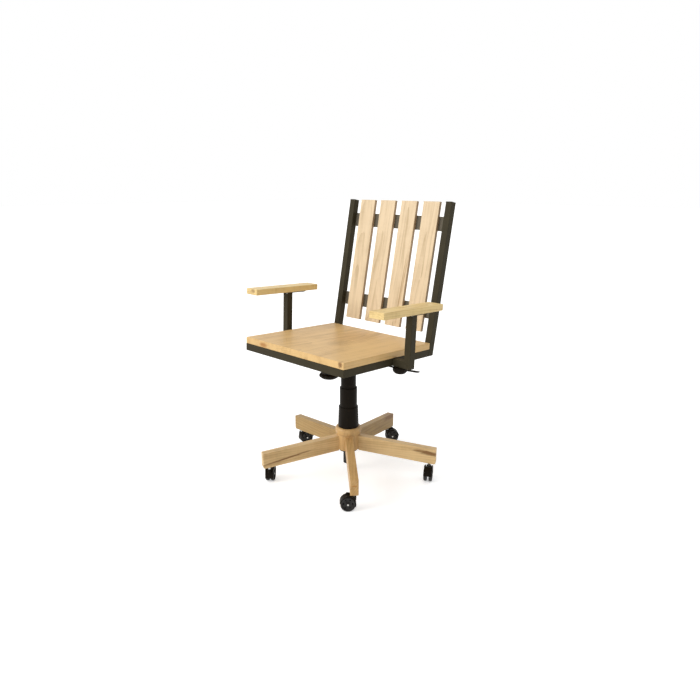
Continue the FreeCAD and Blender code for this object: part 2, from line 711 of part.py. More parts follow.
def make_tilt_housing():
    """Pressed steel housing, open above, with the tapered socket welded in its floor."""
    nose = "0 - housing_front"
    throat = "0 - (housing_front + tension_ahead)/2 + tension_knob_radius*1.3"
    outline = (
        (nose, "0 - nose_bottom"),
        (throat, "0 - nose_bottom"),
        (f"{throat} + 16", "0 - housing_bottom"),
        ("housing_back", "0 - housing_bottom"),
        ("housing_back", "0 - pivot_drop - 3"),
        ("pivot_back + 11", "0 - housing_top - 5"),
        ("pivot_back - 3", "0 - housing_top"),
        (nose, "0 - housing_top"),
    )
    shell = profile_body("housing_shell", "YZ_Plane", outline, "housing_width")
    hollow = profile_body("housing_hollow", "YZ_Plane", (
        (f"{nose} + plate_thickness", "plate_thickness - nose_bottom"),
        (f"{throat} + plate_thickness*0.6", "plate_thickness - nose_bottom"),
        (f"{throat} + 16 + plate_thickness*0.6", "plate_thickness - housing_bottom"),
        ("housing_back - plate_thickness", "plate_thickness - housing_bottom"),
        ("housing_back - plate_thickness", "tube"),
        (f"{nose} + plate_thickness", "tube"),
    ), "housing_width - 2*plate_thickness")
    tray = cut("housing_tray", shell, hollow)
    upright = "placement(vector(0; 0; 0); rotationx(seat_rake)) * placement(vector(0; 0; 0 - socket_top - socket_depth)"
    socket = cylinder("socket", "z", "0", "0", "0", "piston_tube_radius + socket_wall", "socket_depth")
    bind(socket, "Placement", upright + "; rotationx(0))")
    bore = doc.addObject("Part::Cone", "socket_bore")
    bind(bore, "Radius1", "piston_tube_radius + glue_gap")
    bind(bore, "Radius2", "piston_tube_radius - piston_tube_taper*socket_depth/(socket_depth - "
         "piston_tube_top + socket_top) + glue_gap")
    bind(bore, "Height", "socket_depth")
    bind(bore, "Placement", upright + "; rotationx(0))")
    clear = cylinder("tube_way", "z", "0", "0", "0", "piston_tube_radius + glue_gap", "glue_gap")
    bind(clear, "Placement", upright + "; rotationx(0))")
    pivot = cylinder("pivot_hole", "x", "0 - housing_width", "pivot_back", "0 - pivot_drop",
                     "pivot_radius + running_play", "housing_width*2")
    lever = cylinder("lever_hole", "x", "housing_width/2 - plate_thickness - hole_play",
                     f"{LEVER_Y} + (housing_width - plate_thickness)/2*tan(lever_sweep)", "0 - lever_drop",
                     "lever_radius + lug_gap", "plate_thickness*2")
    lugs = []
    for side in ("lug_gap + lever_radius", "0 - lug_gap - lever_radius - lug_thickness"):
        lug = box(f"lever_lug_{len(lugs) + 1}", "0", "0", "0",
                  "housing_width/2 - plate_thickness/2 - lever_pivot + lug_side/2", "lug_thickness", "lug_side")
        bind(lug, "Placement", f"{LEVER_PLACE} * placement(vector(lever_pivot - lug_side/2; {side}; 0 - lug_side/2); "
             "rotationx(0))")
        lugs.append(lug)
    pin_hole = cylinder("lever_pin_hole", "y", "0", "0", "0", "lever_pin_radius + running_play",
                        "2*(lever_radius + lug_gap + lug_thickness) + 2")
    bind(pin_hole, "Placement", f"{LEVER_PLACE} * placement(vector(lever_pivot; "
         "0 - lever_radius - lug_gap - lug_thickness - 1; 0); rotationx(0 - 90))")
    bolt = cylinder("bolt_hole", "z", "0", "0 - tension_ahead", "0 - nose_bottom - 1", "tension_bolt_radius + 3",
                    "plate_thickness + 2")
    joined = fuse("housing_with_socket", [tray, socket] + lugs)
    bores = fuse("housing_bores", (bore, clear))
    holes = group("housing_holes", (bores, pivot, lever, pin_hole, bolt))
    keep(cut("housing", joined, holes), "tilt_housing", SEAT)


def make_tilt_pivot():
    """Bolt that the seat plate's ears turn on."""
    outside = "housing_width/2 + ear_gap + plate_thickness + ear_gap/2"
    body = revolve("pivot", (
        (f"0 - ({outside}) - pivot_radius", "0"),
        (f"0 - ({outside}) - pivot_radius", "pivot_radius*1.7"),
        (f"0 - ({outside})", "pivot_radius*1.7"),
        (f"0 - ({outside})", "pivot_radius"),
        (outside, "pivot_radius"),
        (outside, "pivot_radius*1.7"),
        (f"{outside} + pivot_radius", "pivot_radius*1.7"),
        (f"{outside} + pivot_radius", "0"),
    ), "XZ_Plane", "H_Axis")
    keep(body, "tilt_pivot", f"{SEAT} * placement(vector(0; pivot_back; 0 - pivot_drop); rotationx(0))")


def bolt_places():
    """Where the four bolts of the seat plate are, as pairs of expressions."""
    across = "(plate_width - housing_width)/4 + housing_width/2 + 1"
    return [(f"{side}{across}" if side == "" else f"0 - ({across})", y)
            for side in ("", "-") for y in ("0 - cross_front", "cross_back")]


def make_seat_plate():
    """Flat plate bolted under the cross tubes, with two ears turned down beside the housing."""
    plate = board("plate", "0 - plate_width/2", "0 - plate_front", "0 - plate_thickness", "plate_width",
                  "plate_front + plate_back", "plate_thickness")
    inner = "housing_width/2 + ear_gap"
    ear = box("plate_ear", inner, "pivot_back - pivot_radius*2.4", "0 - pivot_drop - pivot_radius*2.4",
              "plate_thickness", "pivot_radius*4.8", "pivot_drop + pivot_radius*2.4")
    holes = [
        cylinder("ear_holes", "x", "0 - plate_width", "pivot_back", "0 - pivot_drop", "pivot_radius + running_play",
                 "plate_width*2"),
        cylinder("plate_tension_hole", "z", "0", "0 - tension_ahead", "0 - plate_thickness - 1",
                 "tension_bolt_radius + running_play", "plate_thickness + 2"),
    ]
    for i, (x, y) in enumerate(bolt_places()):
        holes.append(cylinder(f"plate_hole_{i + 1}", "z", x, y, "0 - plate_thickness - 1", "plate_bolt + hole_play",
                              "plate_thickness + 2"))
    joined = fuse("plate_with_ears", (plate, ear, mirror("plate_ear_right", ear)))
    keep(cut("seat_plate_cut", joined, holes), "seat_plate", SEAT)


def make_tension_parts():
    """Tension bolt through the seat plate, its lobed knob, and the coil spring round it."""
    knob_top = "0 - nose_bottom - spring_length"
    knob_foot = f"{knob_top} - tension_knob_height"
    head = hexagon("tension_head", "0", "tension_bolt_radius*1.7", "tension_bolt_radius*1.3")
    shank = cylinder("tension_shank", "z", "0", "0", f"{knob_foot} + 2.5", "tension_bolt_radius",
                     f"0 - ({knob_foot}) - 2.5")
    place = f"{SEAT} * placement(vector(0; 0 - tension_ahead; 0); rotationx(0))"
    keep(fuse("tension_bolt_part", (head, shank)), "tension_bolt", place)

    blank = revolve("tension_knob_blank", (
        ("0", knob_foot),
        ("tension_knob_radius - tension_knob_taper", knob_foot),
        ("tension_knob_radius", f"{knob_foot} + tension_knob_height*0.4"),
        ("tension_knob_radius", f"{knob_top} - 5"),
        ("tension_knob_radius - 5", knob_top),
        ("tension_bolt_radius + running_play", knob_top),
        ("tension_bolt_radius + running_play", f"{knob_foot} + 2.4"),
        ("0", f"{knob_foot} + 2.4"),
    ))
    keep(cut("tension_knob_part", blank, lobes("tension", "tension_knob_radius", knob_foot, "tension_knob_height")),
         "tension_knob", place)

    spring = doc.addObject("Part::Feature", "spring")
    wire, coil = value("spring_wire"), value("spring_radius")
    rise = value("spring_length - 2*spring_wire - 2*spring_play")
    helix = Part.makeHelix(rise/value("spring_turns"), rise, coil)
    section = Part.Wire([Part.makeCircle(wire, Vector(coil, 0, 0), Vector(0, 1, 0))])
    spring.Shape = Part.Wire(helix.Edges).makePipeShell([section], True, True)
    keep(spring, "tilt_spring",
         f"{place} * placement(vector(0; 0; {knob_top} + spring_wire + spring_play); rotationx(0))")


def lobes(name, radius, foot, height):
    """Cutters for the finger hollows round a knob."""
    hollows = []
    for i in range(KNOB_LOBES):
        hollow = cylinder(f"{name}_hollow_{i + 1}", "z", "0", "0", "0", f"{radius}*0.16", f"{height} + 2")
        bind(hollow, "Placement", f"placement(vector(0; 0; {foot} - 1); rotationz({i}*360/{KNOB_LOBES})) * "
             f"placement(vector({radius}*1.07; 0; 0); rotationx(0))")
        hollows.append(hollow)
    return hollows


def make_height_lever():
    """Lever: a steel rod over the release pin, on a cross pin, that ends in a flat tip beside the seat."""
    rod = cylinder("lever_rod", "x", "0 - release_pin_radius*2", "0", "0", "lever_radius",
                   "lever_reach - paddle_length + release_pin_radius*2 + 6")
    half = "(lever_radius + lug_gap + lug_thickness)"
    pivot = cylinder("lever_pin", "y", "lever_pivot", f"0 - {half}", "0", "lever_pin_radius", f"2*{half}")
    tip = board("lever_tip", "0", "0 - paddle_width/2", "0 - paddle_thickness/2", "paddle_length", "paddle_width",
                "paddle_thickness", "paddle_thickness*0.35")
    bind(tip, "Placement", "placement(vector(lever_reach - paddle_length; 0; 0); rotationy(0 - paddle_bend))")
    keep(fuse("lever", (rod, pivot, tip)), "height_lever", f"{SEAT} * {LEVER_PLACE}")


# Seat frame and seat

def frame_screw_places():
    """Where the seat's wood screws go up through the side tubes."""
    rail = "seat_width/2 - tube/2"
    return [(f"{side}({rail})", y) for side in ("0 + ", "0 - ")
            for y in ("0 - seat_front + 70", "0 - (seat_front - seat_back)/2 - 20", "seat_back - 60")]


def bay(sketch, front, back, wall):
    """One bay of the seat frame in plan, grown by the wall on each side."""
    rectangle(sketch, f"0 - seat_width/2 + tube - {wall}", f"seat_width/2 - tube + {wall}",
              f"{front} - {wall}", f"{back} + {wall}")


def frame_block(name, wall, rounding=None):
    """The seat frame's outline, its faces moved inwards by the wall, with its three bays cut out."""
    slant = f"{BACK_FOOT} - {wall}/cos(back_lean)"
    body = doc.addObject("PartDesign::Body", name)
    side = sketch_on(body, "YZ_Plane")
    polygon(side, (
        (f"0 - seat_front + {wall}", wall),
        (f"{slant} + {wall}*tan(back_lean)", wall),
        (f"{slant} + (tube - {wall})*tan(back_lean)", f"tube - {wall}"),
        (f"0 - seat_front + {wall}", f"tube - {wall}"),
    ))
    pad(body, side, f"seat_width - 2*{wall}", symmetric=True)
    plan = sketch_on(body, "XY_Plane")
    bay(plan, "0 - seat_front + tube", "0 - cross_front - tube/2", wall)
    bay(plan, "0 - cross_front + tube/2", "cross_back - tube/2", wall)
    bay(plan, "cross_back + tube/2", f"{BACK_FOOT} - tube", wall)
    pocket(body, plan)
    if rounding:
        ease(body, rounding)
    return body


def make_seat_frame():
    """Welded square tube under the seat, with two cross tubes and the bars that carry the arms."""
    hollow = cut("frame_tubes", frame_block("frame_outside", "0", "tube_ease"), frame_block("frame_inside", "tube_wall"))
    bar = box("arm_bar_left", "seat_width/2 - tube_wall/2", "0 - arm_ahead - arm_bar/2", "tube/2 - arm_bar/2",
              "arm_bar_reach + tube_wall/2", "arm_bar", "arm_bar")
    joined = fuse("frame_with_bars", (hollow, bar, mirror("arm_bar_right", bar)))
    holes = []
    for i, (x, y) in enumerate(frame_screw_places()):
        holes.append(cylinder(f"frame_screw_hole_{i + 1}", "z", x, y, "0 - 1", "wood_screw + hole_play", "tube + 2"))
    for i, (x, y) in enumerate(bolt_places()):
        holes.append(cylinder(f"frame_bolt_hole_{i + 1}", "z", x, y, "0 - 1", "plate_bolt + hole_play",
                              "tube_wall + 2"))
    keep(cut("frame_part", joined, holes), "seat_frame", SEAT)


def make_seat_panel():
    """Maple seat with eased edges, flush with the frame on all four sides."""
    blank = board("panel", "0 - seat_width/2", "0 - seat_front", "tube", "seat_width", "seat_front + seat_back",
                  "seat_thickness", "seat_ease")
    holes = [cylinder(f"panel_hole_{i + 1}", "z", x, y, "tube - 1", "wood_screw + hole_play/2", "screw_bite + 1.5")
             for i, (x, y) in enumerate(frame_screw_places())]
    keep(cut("panel_part", blank, holes), "seat_panel", SEAT)


def make_plate_bolts():
    """Four hexagon bolts up through the seat plate into the cross tubes."""
    bolts = []
    for i, (x, y) in enumerate(bolt_places()):
        head = hexagon(f"plate_bolt_head_{i + 1}", "0 - plate_thickness - plate_bolt*1.3", "plate_bolt*1.8",
                       "plate_bolt*1.3", x, y)
        shank = cylinder(f"plate_bolt_shank_{i + 1}", "z", x, y, "0 - plate_thickness - plate_bolt/2", "plate_bolt",
                         "plate_thickness + tube_wall + plate_bolt*2")
        bolts.append(fuse(f"plate_bolt_{i + 1}", (head, shank)))
    keep(group("plate_bolt_set", bolts), "plate_bolts", SEAT)


# Back, on its own leaning frame: X across, Y rearwards from the posts' front faces, Z up the posts

def make_back_posts():
    """Two square posts, closed at the top and cut level at the foot."""
    for label, side in (("back_post_left", 1), ("back_post_right", -1)):
        solids = []
        for name, wall, rounding in (("outside", "0", "tube_ease"), ("inside", "tube_wall", None)):
            body = doc.addObject("PartDesign::Body", f"{label}_{name}")
            sketch = sketch_on(body, "YZ_Plane", f"{side}*(seat_width/2 - tube/2)")
            polygon(sketch, (
                (wall, f"{wall}*tan(back_lean) + {wall}/cos(back_lean)"),
                (f"tube - {wall}", f"(tube - {wall})*tan(back_lean) + {wall}/cos(back_lean)"),
                (f"tube - {wall}", f"post_length - {wall}"),
                (wall, f"post_length - {wall}"),
            ))
            pad(body, sketch, f"tube - 2*{wall}", symmetric=True)
            if rounding:
                ease(body, rounding)
            solids.append(body)
        keep(cut(label + "_tube", solids[0], solids[1]), label, BACK)


BAR_FRONT = "tube - bar_depth"
SLAT_GAP = f"(seat_width - 2*tube - {SLAT_COUNT}*slat_width)/{SLAT_COUNT + 1}"


def slat_left(i):
    """Left edge of one slat: all the gaps between slats and posts are equal."""
    return f"(slat_width + {SLAT_GAP})*({i} - {SLAT_COUNT}/2) + {SLAT_GAP}/2"


def slat_screw_places(i):
    """Where one slat's screws are: across and up the back."""
    middle = f"{slat_left(i)} + slat_width/2"
    return [(f"{middle} {side} slat_width/4", level) for side in ("-", "+") for level in ("upper_bar", "lower_bar")]


def make_crossbars():
    """Two flat bars between the posts, flush with their rear faces and drilled for the slats' screws."""
    for label, level in (("back_bar_upper", "upper_bar"), ("back_bar_lower", "lower_bar")):
        half = "seat_width/2 - tube - glue_gap"
        bar = board(label + "_blank", f"0 - ({half})", BAR_FRONT, f"{level} - bar_height/2", f"2*({half})", "bar_depth",
                    "bar_height", "bar_ease")
        holes = []
        for i in range(SLAT_COUNT):
            for j, (x, z) in enumerate(slat_screw_places(i)):
                if z == level:
                    holes.append(cylinder(f"{label}_hole_{i + 1}_{j + 1}", "y", x, f"{BAR_FRONT} - 1", z,
                                          "wood_screw + hole_play", "bar_depth + 2"))
        keep(cut(label + "_drilled", bar, holes), label, BACK)


def make_slat(i):
    """Maple slat in front of the crossbars."""
    blank = board(f"slat_{i + 1}", slat_left(i), f"{BAR_FRONT} - slat_thickness", "slat_bottom", "slat_width",
                  "slat_thickness", "post_length - slat_bottom", "slat_ease")
    holes = [cylinder(f"slat_{i + 1}_hole_{j + 1}", "y", x, f"{BAR_FRONT} - slat_bite - 0.5", z,
                      "wood_screw + hole_play/2", "slat_bite + 1.5")
             for j, (x, z) in enumerate(slat_screw_places(i))]
    keep(cut(f"slat_{i + 1}_part", blank, holes), f"back_slat_{i + 1}", BACK)


def make_wood_screws():
    """The seat's and the slats' wood screws."""
    screws = []
    for i, (x, y) in enumerate(frame_screw_places()):
        screws.append(screw(f"seat_screw_{i + 1}", "z", x, y, "0", "wood_screw", "tube + screw_bite", "screw_head",
                            "screw_head_height"))
    slat_screws = []
    for i in range(SLAT_COUNT):
        for j, (x, z) in enumerate(slat_screw_places(i)):
            slat_screws.append(screw(f"slat_screw_{i + 1}_{j + 1}", "y", x, "tube", z, "wood_screw",
                                     "bar_depth + slat_bite", "screw_head", "screw_head_height", way=-1))
    leaning = group("slat_screws", slat_screws)
    bind(leaning, "Placement", f"placement(vector(0; {BACK_FOOT}; 0); rotationx(-back_lean))")
    keep(group("wood_screw_set", screws + [leaning]), "wood_screws", SEAT)


# Arms

PLATE_FOOT = "arm_rise - arm_plate_thickness"
ARM_MIDDLE = "(seat_width/2 + arm_offset)"


def arm_screw_places():
    """Where the screws of an arm pad are: across from the post and behind the column."""
    middle = "arm_plate_length/2 - arm_plate_front"
    return [(f"{ARM_MIDDLE} {side} (arm_plate_width/2 - 7)", f"{middle} {end} (arm_plate_length/2 - 8)")
            for side in ("-", "+") for end in ("-", "+")]


def make_arm(label, flip):
    """Arm of one side: the mitred tube with its top plate, the pad, its screws and the clamp knob."""
    def placed(item, name):
        keep(mirror(f"{name}_flipped", item) if flip else item, name, SEAT)

    inner = "seat_width/2 + arm_play"
    outer = f"{ARM_MIDDLE} + tube/2"
    outside = doc.addObject("PartDesign::Body", f"arm_{label}_outside")
    bent = sketch_on(outside, "XZ_Plane", "arm_ahead")
    polygon(bent, ((inner, "0"), (outer, "0"), (outer, PLATE_FOOT), (f"{outer} - tube", PLATE_FOOT),
                   (f"{outer} - tube", "tube"), (inner, "tube")))
    pad(outside, bent, "tube", symmetric=True)
    ease(outside, "tube_ease")
    inside = doc.addObject("PartDesign::Body", f"arm_{label}_inside")
    hollow = sketch_on(inside, "XZ_Plane", "arm_ahead")
    polygon(hollow, ((f"{inner} - 1", "tube_wall"), (f"{outer} - tube_wall", "tube_wall"),
                     (f"{outer} - tube_wall", f"{PLATE_FOOT} - tube_wall"),
                     (f"{outer} - tube + tube_wall", f"{PLATE_FOOT} - tube_wall"),
                     (f"{outer} - tube + tube_wall", "tube - tube_wall"), (f"{inner} - 1", "tube - tube_wall")))
    pad(inside, hollow, "tube - 2*tube_wall", symmetric=True)
    tube = cut(f"arm_{label}_tube", outside, inside)
    plate = board(f"arm_{label}_plate", f"{ARM_MIDDLE} - arm_plate_width/2", "0 - arm_plate_front", PLATE_FOOT,
                  "arm_plate_width", "arm_plate_length", "arm_plate_thickness")
    knob_at = f"(seat_width/2 + {ARM_MIDDLE} - tube/2)/2"
    holes = [cylinder(f"arm_{label}_clamp_hole", "z", knob_at, "0 - arm_ahead", "0 - 1",
                      "clamp_screw + running_play", "tube_wall + 1.5")]
    for i, (x, y) in enumerate(arm_screw_places()):
        holes.append(cylinder(f"arm_{label}_plate_hole_{i + 1}", "z", x, y, f"{PLATE_FOOT} - 1",
                              "wood_screw + hole_play", "arm_plate_thickness + 2"))
    placed(cut(f"arm_{label}_drilled", fuse(f"arm_{label}_welded", (tube, plate)), holes), f"arm_frame_{label}")

    pad_blank = board(f"pad_{label}", f"{ARM_MIDDLE} - pad_width/2", "0 - pad_front", "arm_rise", "pad_width",
                      "pad_length", "pad_thickness", "pad_ease")
    pilots = [cylinder(f"pad_{label}_hole_{i + 1}", "z", x, y, "arm_rise - 1", "wood_screw + hole_play/2",
                       "screw_bite + 1.5") for i, (x, y) in enumerate(arm_screw_places())]
    placed(cut(f"pad_{label}_drilled", pad_blank, pilots), f"arm_pad_{label}")

    screws = [screw(f"arm_{label}_screw_{i + 1}", "z", x, y, PLATE_FOOT, "wood_screw",
                    "arm_plate_thickness + screw_bite", "screw_head", "screw_head_height")
              for i, (x, y) in enumerate(arm_screw_places())]
    placed(group(f"arm_{label}_screw_set", screws), f"arm_screws_{label}")

    foot = "0 - arm_knob_height - knob_gap"
    blank = revolve(f"arm_knob_{label}_blank", (
        ("0", foot),
        ("arm_knob_radius - arm_knob_taper", foot),
        ("arm_knob_radius", f"{foot} + arm_knob_taper"),
        ("arm_knob_radius", "0 - knob_gap - 3"),
        ("arm_knob_radius - 3", "0 - knob_gap"),
        ("clamp_screw", "0 - knob_gap"),
        ("clamp_screw", "(tube - arm_bar)/2 - glue_gap"),
        ("0", "(tube - arm_bar)/2 - glue_gap"),
    ))
    knob = cut(f"arm_knob_{label}_part", blank, lobes(f"arm_{label}", "arm_knob_radius", foot, "arm_knob_height"))
    side = "0 - " if flip else "0 + "
    keep(knob, f"arm_knob_{label}", f"{SEAT} * placement(vector({side}({knob_at}); 0 - arm_ahead; 0); rotationx(0))")


# Casters: the stem's axis is the frame's Z axis, and the wheels trail along +X

def make_caster(i):
    """One caster: hood with its web, stem and axle, and the pair of wheels."""
    number = i + 1
    half = "web_thickness/2 + wheel_play + wheel_width"
    reach = "wheel_radius + hood_gap + hood_wall"
    hood = doc.addObject("PartDesign::Body", f"hood_{number}")
    disc = sketch_on(hood, "XZ_Plane")
    circle(disc, "caster_trail", "wheel_radius", reach)
    pad(hood, disc, f"2*({half})", symmetric=True)
    boss = sketch_on(hood, "XY_Plane", "wheel_radius*1.5")
    circle(boss, "0", "0", "boss_radius")
    pad(hood, boss, "boss_top - wheel_radius*1.5")
    for offset in (f"{half} - ear_width", f"0 - ({half})"):
        ear = sketch_on(hood, "XZ_Plane", offset)
        polygon(ear, (("0 - 7", "boss_top - 14"), ("0 - 3", "boss_top - 1"), ("6", "boss_top + 2"),
                      ("caster_trail + 4", "boss_top + 5"), ("caster_trail + 14", "boss_top - 6"),
                      ("caster_trail", "boss_top - 12")))
        pad(hood, ear, "ear_width")
    for offset, outwards in (("web_thickness/2", True), ("0 - web_thickness/2", False)):
        cavity = sketch_on(hood, "XZ_Plane", offset)
        circle(cavity, "caster_trail", "wheel_radius", "wheel_radius + hood_gap")
        pocket(hood, cavity, f"{half} + 5", along_normal=outwards)
    skirt = sketch_on(hood, "XZ_Plane")
    polygon(skirt, (("caster_trail + 7", "wheel_radius - 8"), ("caster_trail + 45", "wheel_radius + 12"),
                    ("caster_trail + 45", "0 - 20"), ("caster_trail - 60", "0 - 20"),
                    ("caster_trail - 60", "wheel_radius - 10"), ("caster_trail - 7", "wheel_radius - 8")))
    pocket(hood, skirt)
    axle_hole = sketch_on(hood, "XZ_Plane")
    circle(axle_hole, "caster_trail", "wheel_radius", "axle_radius + glue_gap")
    pocket(hood, axle_hole)
    stem_hole = sketch_on(hood, "XY_Plane", "boss_top")
    circle(stem_hole, "0", "0", "stem_radius + glue_gap")
    pocket(hood, stem_hole, "stem_grip")
    keep(hood, f"caster_hood_{number}", caster_place(i))

    shoulder = "socket_foot - glue_gap - shoulder_height"
    stem = revolve(f"stem_{number}", (
        ("0", "boss_top - stem_grip + glue_gap"),
        ("stem_radius", "boss_top - stem_grip + glue_gap"),
        ("stem_radius", shoulder),
        ("shoulder_radius", shoulder),
        ("shoulder_radius", f"{shoulder} + shoulder_height"),
        ("stem_radius", f"{shoulder} + shoulder_height"),
        ("stem_radius", "stem_top - 2"),
        ("stem_radius - 2", "stem_top"),
        ("0", "stem_top"),
    ))
    axle = cylinder(f"axle_{number}", "y", "caster_trail", f"0 - ({half})", "wheel_radius", "axle_radius",
                    f"2*({half})")
    keep(group(f"caster_pins_{number}", (stem, axle)), f"caster_stem_axle_{number}", caster_place(i))

    near = "web_thickness/2 + wheel_play"
    far = f"{near} + wheel_width"
    disc_side = f"{near} + wheel_disc"
    rim = "wheel_radius - wheel_rim"
    hub = "axle_radius*2.2"
    wheel = revolve(f"wheel_{number}", (
        (near, "axle_radius + running_play"),
        (near, "wheel_radius - 1.5"),
        (f"{near} + 1.5", "wheel_radius"),
        (f"{far} - 2.5", "wheel_radius"),
        (far, "wheel_radius - 2.5"),
        (far, rim),
        (f"{disc_side} + 1.5", f"{rim} - 1"),
        (disc_side, f"{rim} - 3"),
        (disc_side, hub),
        (f"{far} - 0.6", f"{hub} - 1"),
        (f"{far} - 0.6", "axle_radius + running_play"),
    ), "YZ_Plane", "H_Axis")
    windows = sketch_on(wheel, "XZ_Plane")
    circle(windows, "wheel_window_circle", "0", "wheel_window")
    hole = pocket(wheel, windows)
    pattern = wheel.newObject("PartDesign::PolarPattern", f"wheel_{number}_windows")
    pattern.Originals = [hole]
    pattern.Axis = (windows, ["N_Axis"])
    pattern.Angle = 360
    pattern.Occurrences = WINDOW_COUNT
    wheel.Tip = pattern
    twin = mirror(f"wheel_{number}_twin", wheel, Vector(0, 1, 0))
    keep(group(f"wheel_pair_{number}", (wheel, twin)), f"caster_wheels_{number}",
         caster_place(i) + " * placement(vector(caster_trail; 0; wheel_radius); rotationx(0))")


make_hub()
for leg_number in range(LEG_COUNT):
    make_leg(leg_number)
make_leg_hardware()
make_hub_sleeve()
make_column_tube()
make_thrust_bearing()
make_piston_rod()
make_pressure_tube()
make_covers()
make_tilt_housing()
make_tilt_pivot()
make_seat_plate()
make_tension_parts()
make_height_lever()
make_seat_frame()
make_seat_panel()
make_plate_bolts()
make_back_posts()
make_crossbars()
for slat_number in range(SLAT_COUNT):
    make_slat(slat_number)
make_wood_screws()
make_arm("left", flip=False)
make_arm("right", flip=True)
for caster_number in range(LEG_COUNT):
    make_caster(caster_number)

doc.recompute()
for item in doc.Objects:
    if {"Invalid", "Error"} & set(item.State):
        raise RuntimeError(f"{item.Label} failed: {item.State}")
for label, piece in pieces.items():
    if piece.Shape.isNull() or not piece.Shape.isValid() or not piece.Shape.Solids:
        raise RuntimeError(f"{label} has no valid solid")

os.makedirs("parts", exist_ok=True)
whole = FreeCAD.BoundBox()
for label, piece in pieces.items():
    piece.Shape.exportStep(f"parts/{label}.step")
    whole.add(piece.Shape.BoundBox)
print(f"{len(pieces)} pieces, {whole.XLength:.1f} x {whole.YLength:.1f} x {whole.ZLength:.1f} mm, "
      f"middle at {whole.Center.x:.2f}, {whole.Center.y:.2f}, foot at {whole.ZMin:.2f}")
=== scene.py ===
# %% [markdown]
# # A swivel chair of maple and steel
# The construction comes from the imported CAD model, in metres, and this script gives it its looks. Flat
# boards and square tubes keep their CAD meshes and get materials. Turned, moulded and coiled pieces are
# worked out again here as smooth surfaces, because a CAD mesh of loose triangles can't be shaded smoothly.

import json
from math import cos, pi, radians, sin, tan

import bmesh
import bpy
import numpy as np
from mathutils import Matrix, Vector


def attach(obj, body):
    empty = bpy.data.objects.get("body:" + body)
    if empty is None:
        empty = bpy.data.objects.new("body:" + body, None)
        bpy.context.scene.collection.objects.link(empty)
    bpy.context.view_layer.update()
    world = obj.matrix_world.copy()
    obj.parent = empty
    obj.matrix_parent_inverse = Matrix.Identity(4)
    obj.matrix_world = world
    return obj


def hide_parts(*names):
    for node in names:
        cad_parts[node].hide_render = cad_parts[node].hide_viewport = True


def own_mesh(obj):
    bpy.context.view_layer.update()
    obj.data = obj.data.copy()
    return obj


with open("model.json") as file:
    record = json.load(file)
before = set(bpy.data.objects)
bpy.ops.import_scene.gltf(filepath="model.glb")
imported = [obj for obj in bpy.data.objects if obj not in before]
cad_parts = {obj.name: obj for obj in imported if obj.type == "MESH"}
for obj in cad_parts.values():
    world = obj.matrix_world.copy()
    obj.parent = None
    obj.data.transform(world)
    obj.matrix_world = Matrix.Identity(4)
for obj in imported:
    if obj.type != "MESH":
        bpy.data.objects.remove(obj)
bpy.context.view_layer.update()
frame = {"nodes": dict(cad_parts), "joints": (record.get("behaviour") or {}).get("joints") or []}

# %% [markdown]
# ## Places
# The seat leans back a little on the column, the back leans on the seat, and each leg and caster has its
# own direction. A matrix for each of them lets every piece be drawn in the plain coordinates that a maker
# would use.

# %% Frames of reference
SEAT_RAKE = radians(2.5)
BACK_LEAN = radians(8.4)
FRAME_LEVEL = 0.469          # floor to the underside of the seat frame, at the column
SEAT_BACK = 0.1642            # column to the back edge of the seat
TUBE = 0.0254
LEG_TURN = radians(-43)
LEGS = range(1, 6)

joints = {joint["name"]: joint for joint in frame["joints"]}
column_axis = Vector(joints["seat_swivel"]["pos_m"])
COLUMN = Matrix.Translation((column_axis.x, column_axis.y, 0))
SEAT = COLUMN @ Matrix.Translation((0, 0, FRAME_LEVEL)) @ Matrix.Rotation(-SEAT_RAKE, 4, "X")
BACK_FOOT = SEAT_BACK - TUBE*tan(BACK_LEAN)
BACK = SEAT @ Matrix.Translation((0, BACK_FOOT, 0)) @ Matrix.Rotation(-BACK_LEAN, 4, "X")
LEG = {k: COLUMN @ Matrix.Rotation(LEG_TURN + 2*pi*(k - 1)/5, 4, "Z") for k in LEGS}
print("column at", tuple(round(v, 4) for v in column_axis))

# %% [markdown]
# ## Camera
# The photograph was taken from the front left of the sitter, a little above the seat. The view was found by
# fitting the chair's straight edges and its five wheels to the picture, so the render can be laid over it.

# %% Camera of the photograph
VIEW_AZIMUTH = radians(43.33)
VIEW_PITCH = radians(15.2)
VIEW_DISTANCE = 2.2162
VIEW_AIM = Vector((0.0042, -0.0172, 0.4719))
VIEW_ROLL = radians(0.17)
LENS = 31.28
SENSOR = 36.0

backwards = Vector((sin(VIEW_AZIMUTH)*cos(VIEW_PITCH), -cos(VIEW_AZIMUTH)*cos(VIEW_PITCH), sin(VIEW_PITCH)))
camera_data = bpy.data.cameras.new("photo_camera")
camera_data.lens = LENS
camera_data.sensor_width = SENSOR
camera = bpy.data.objects.new("photo_camera", camera_data)
bpy.context.scene.collection.objects.link(camera)
turn = backwards.to_track_quat("Z", "Y").to_matrix().to_4x4() @ Matrix.Rotation(VIEW_ROLL, 4, "Z")
camera.matrix_world = Matrix.Translation(VIEW_AIM + backwards*VIEW_DISTANCE) @ turn
bpy.context.scene.camera = camera
print("camera at", tuple(round(v, 3) for v in camera.location))

# %% [markdown]
# ## Wiring materials
# A material is a graph of nodes. This small helper adds a node, types in its plain numbers and links its
# sockets, so that each material below reads as a recipe.


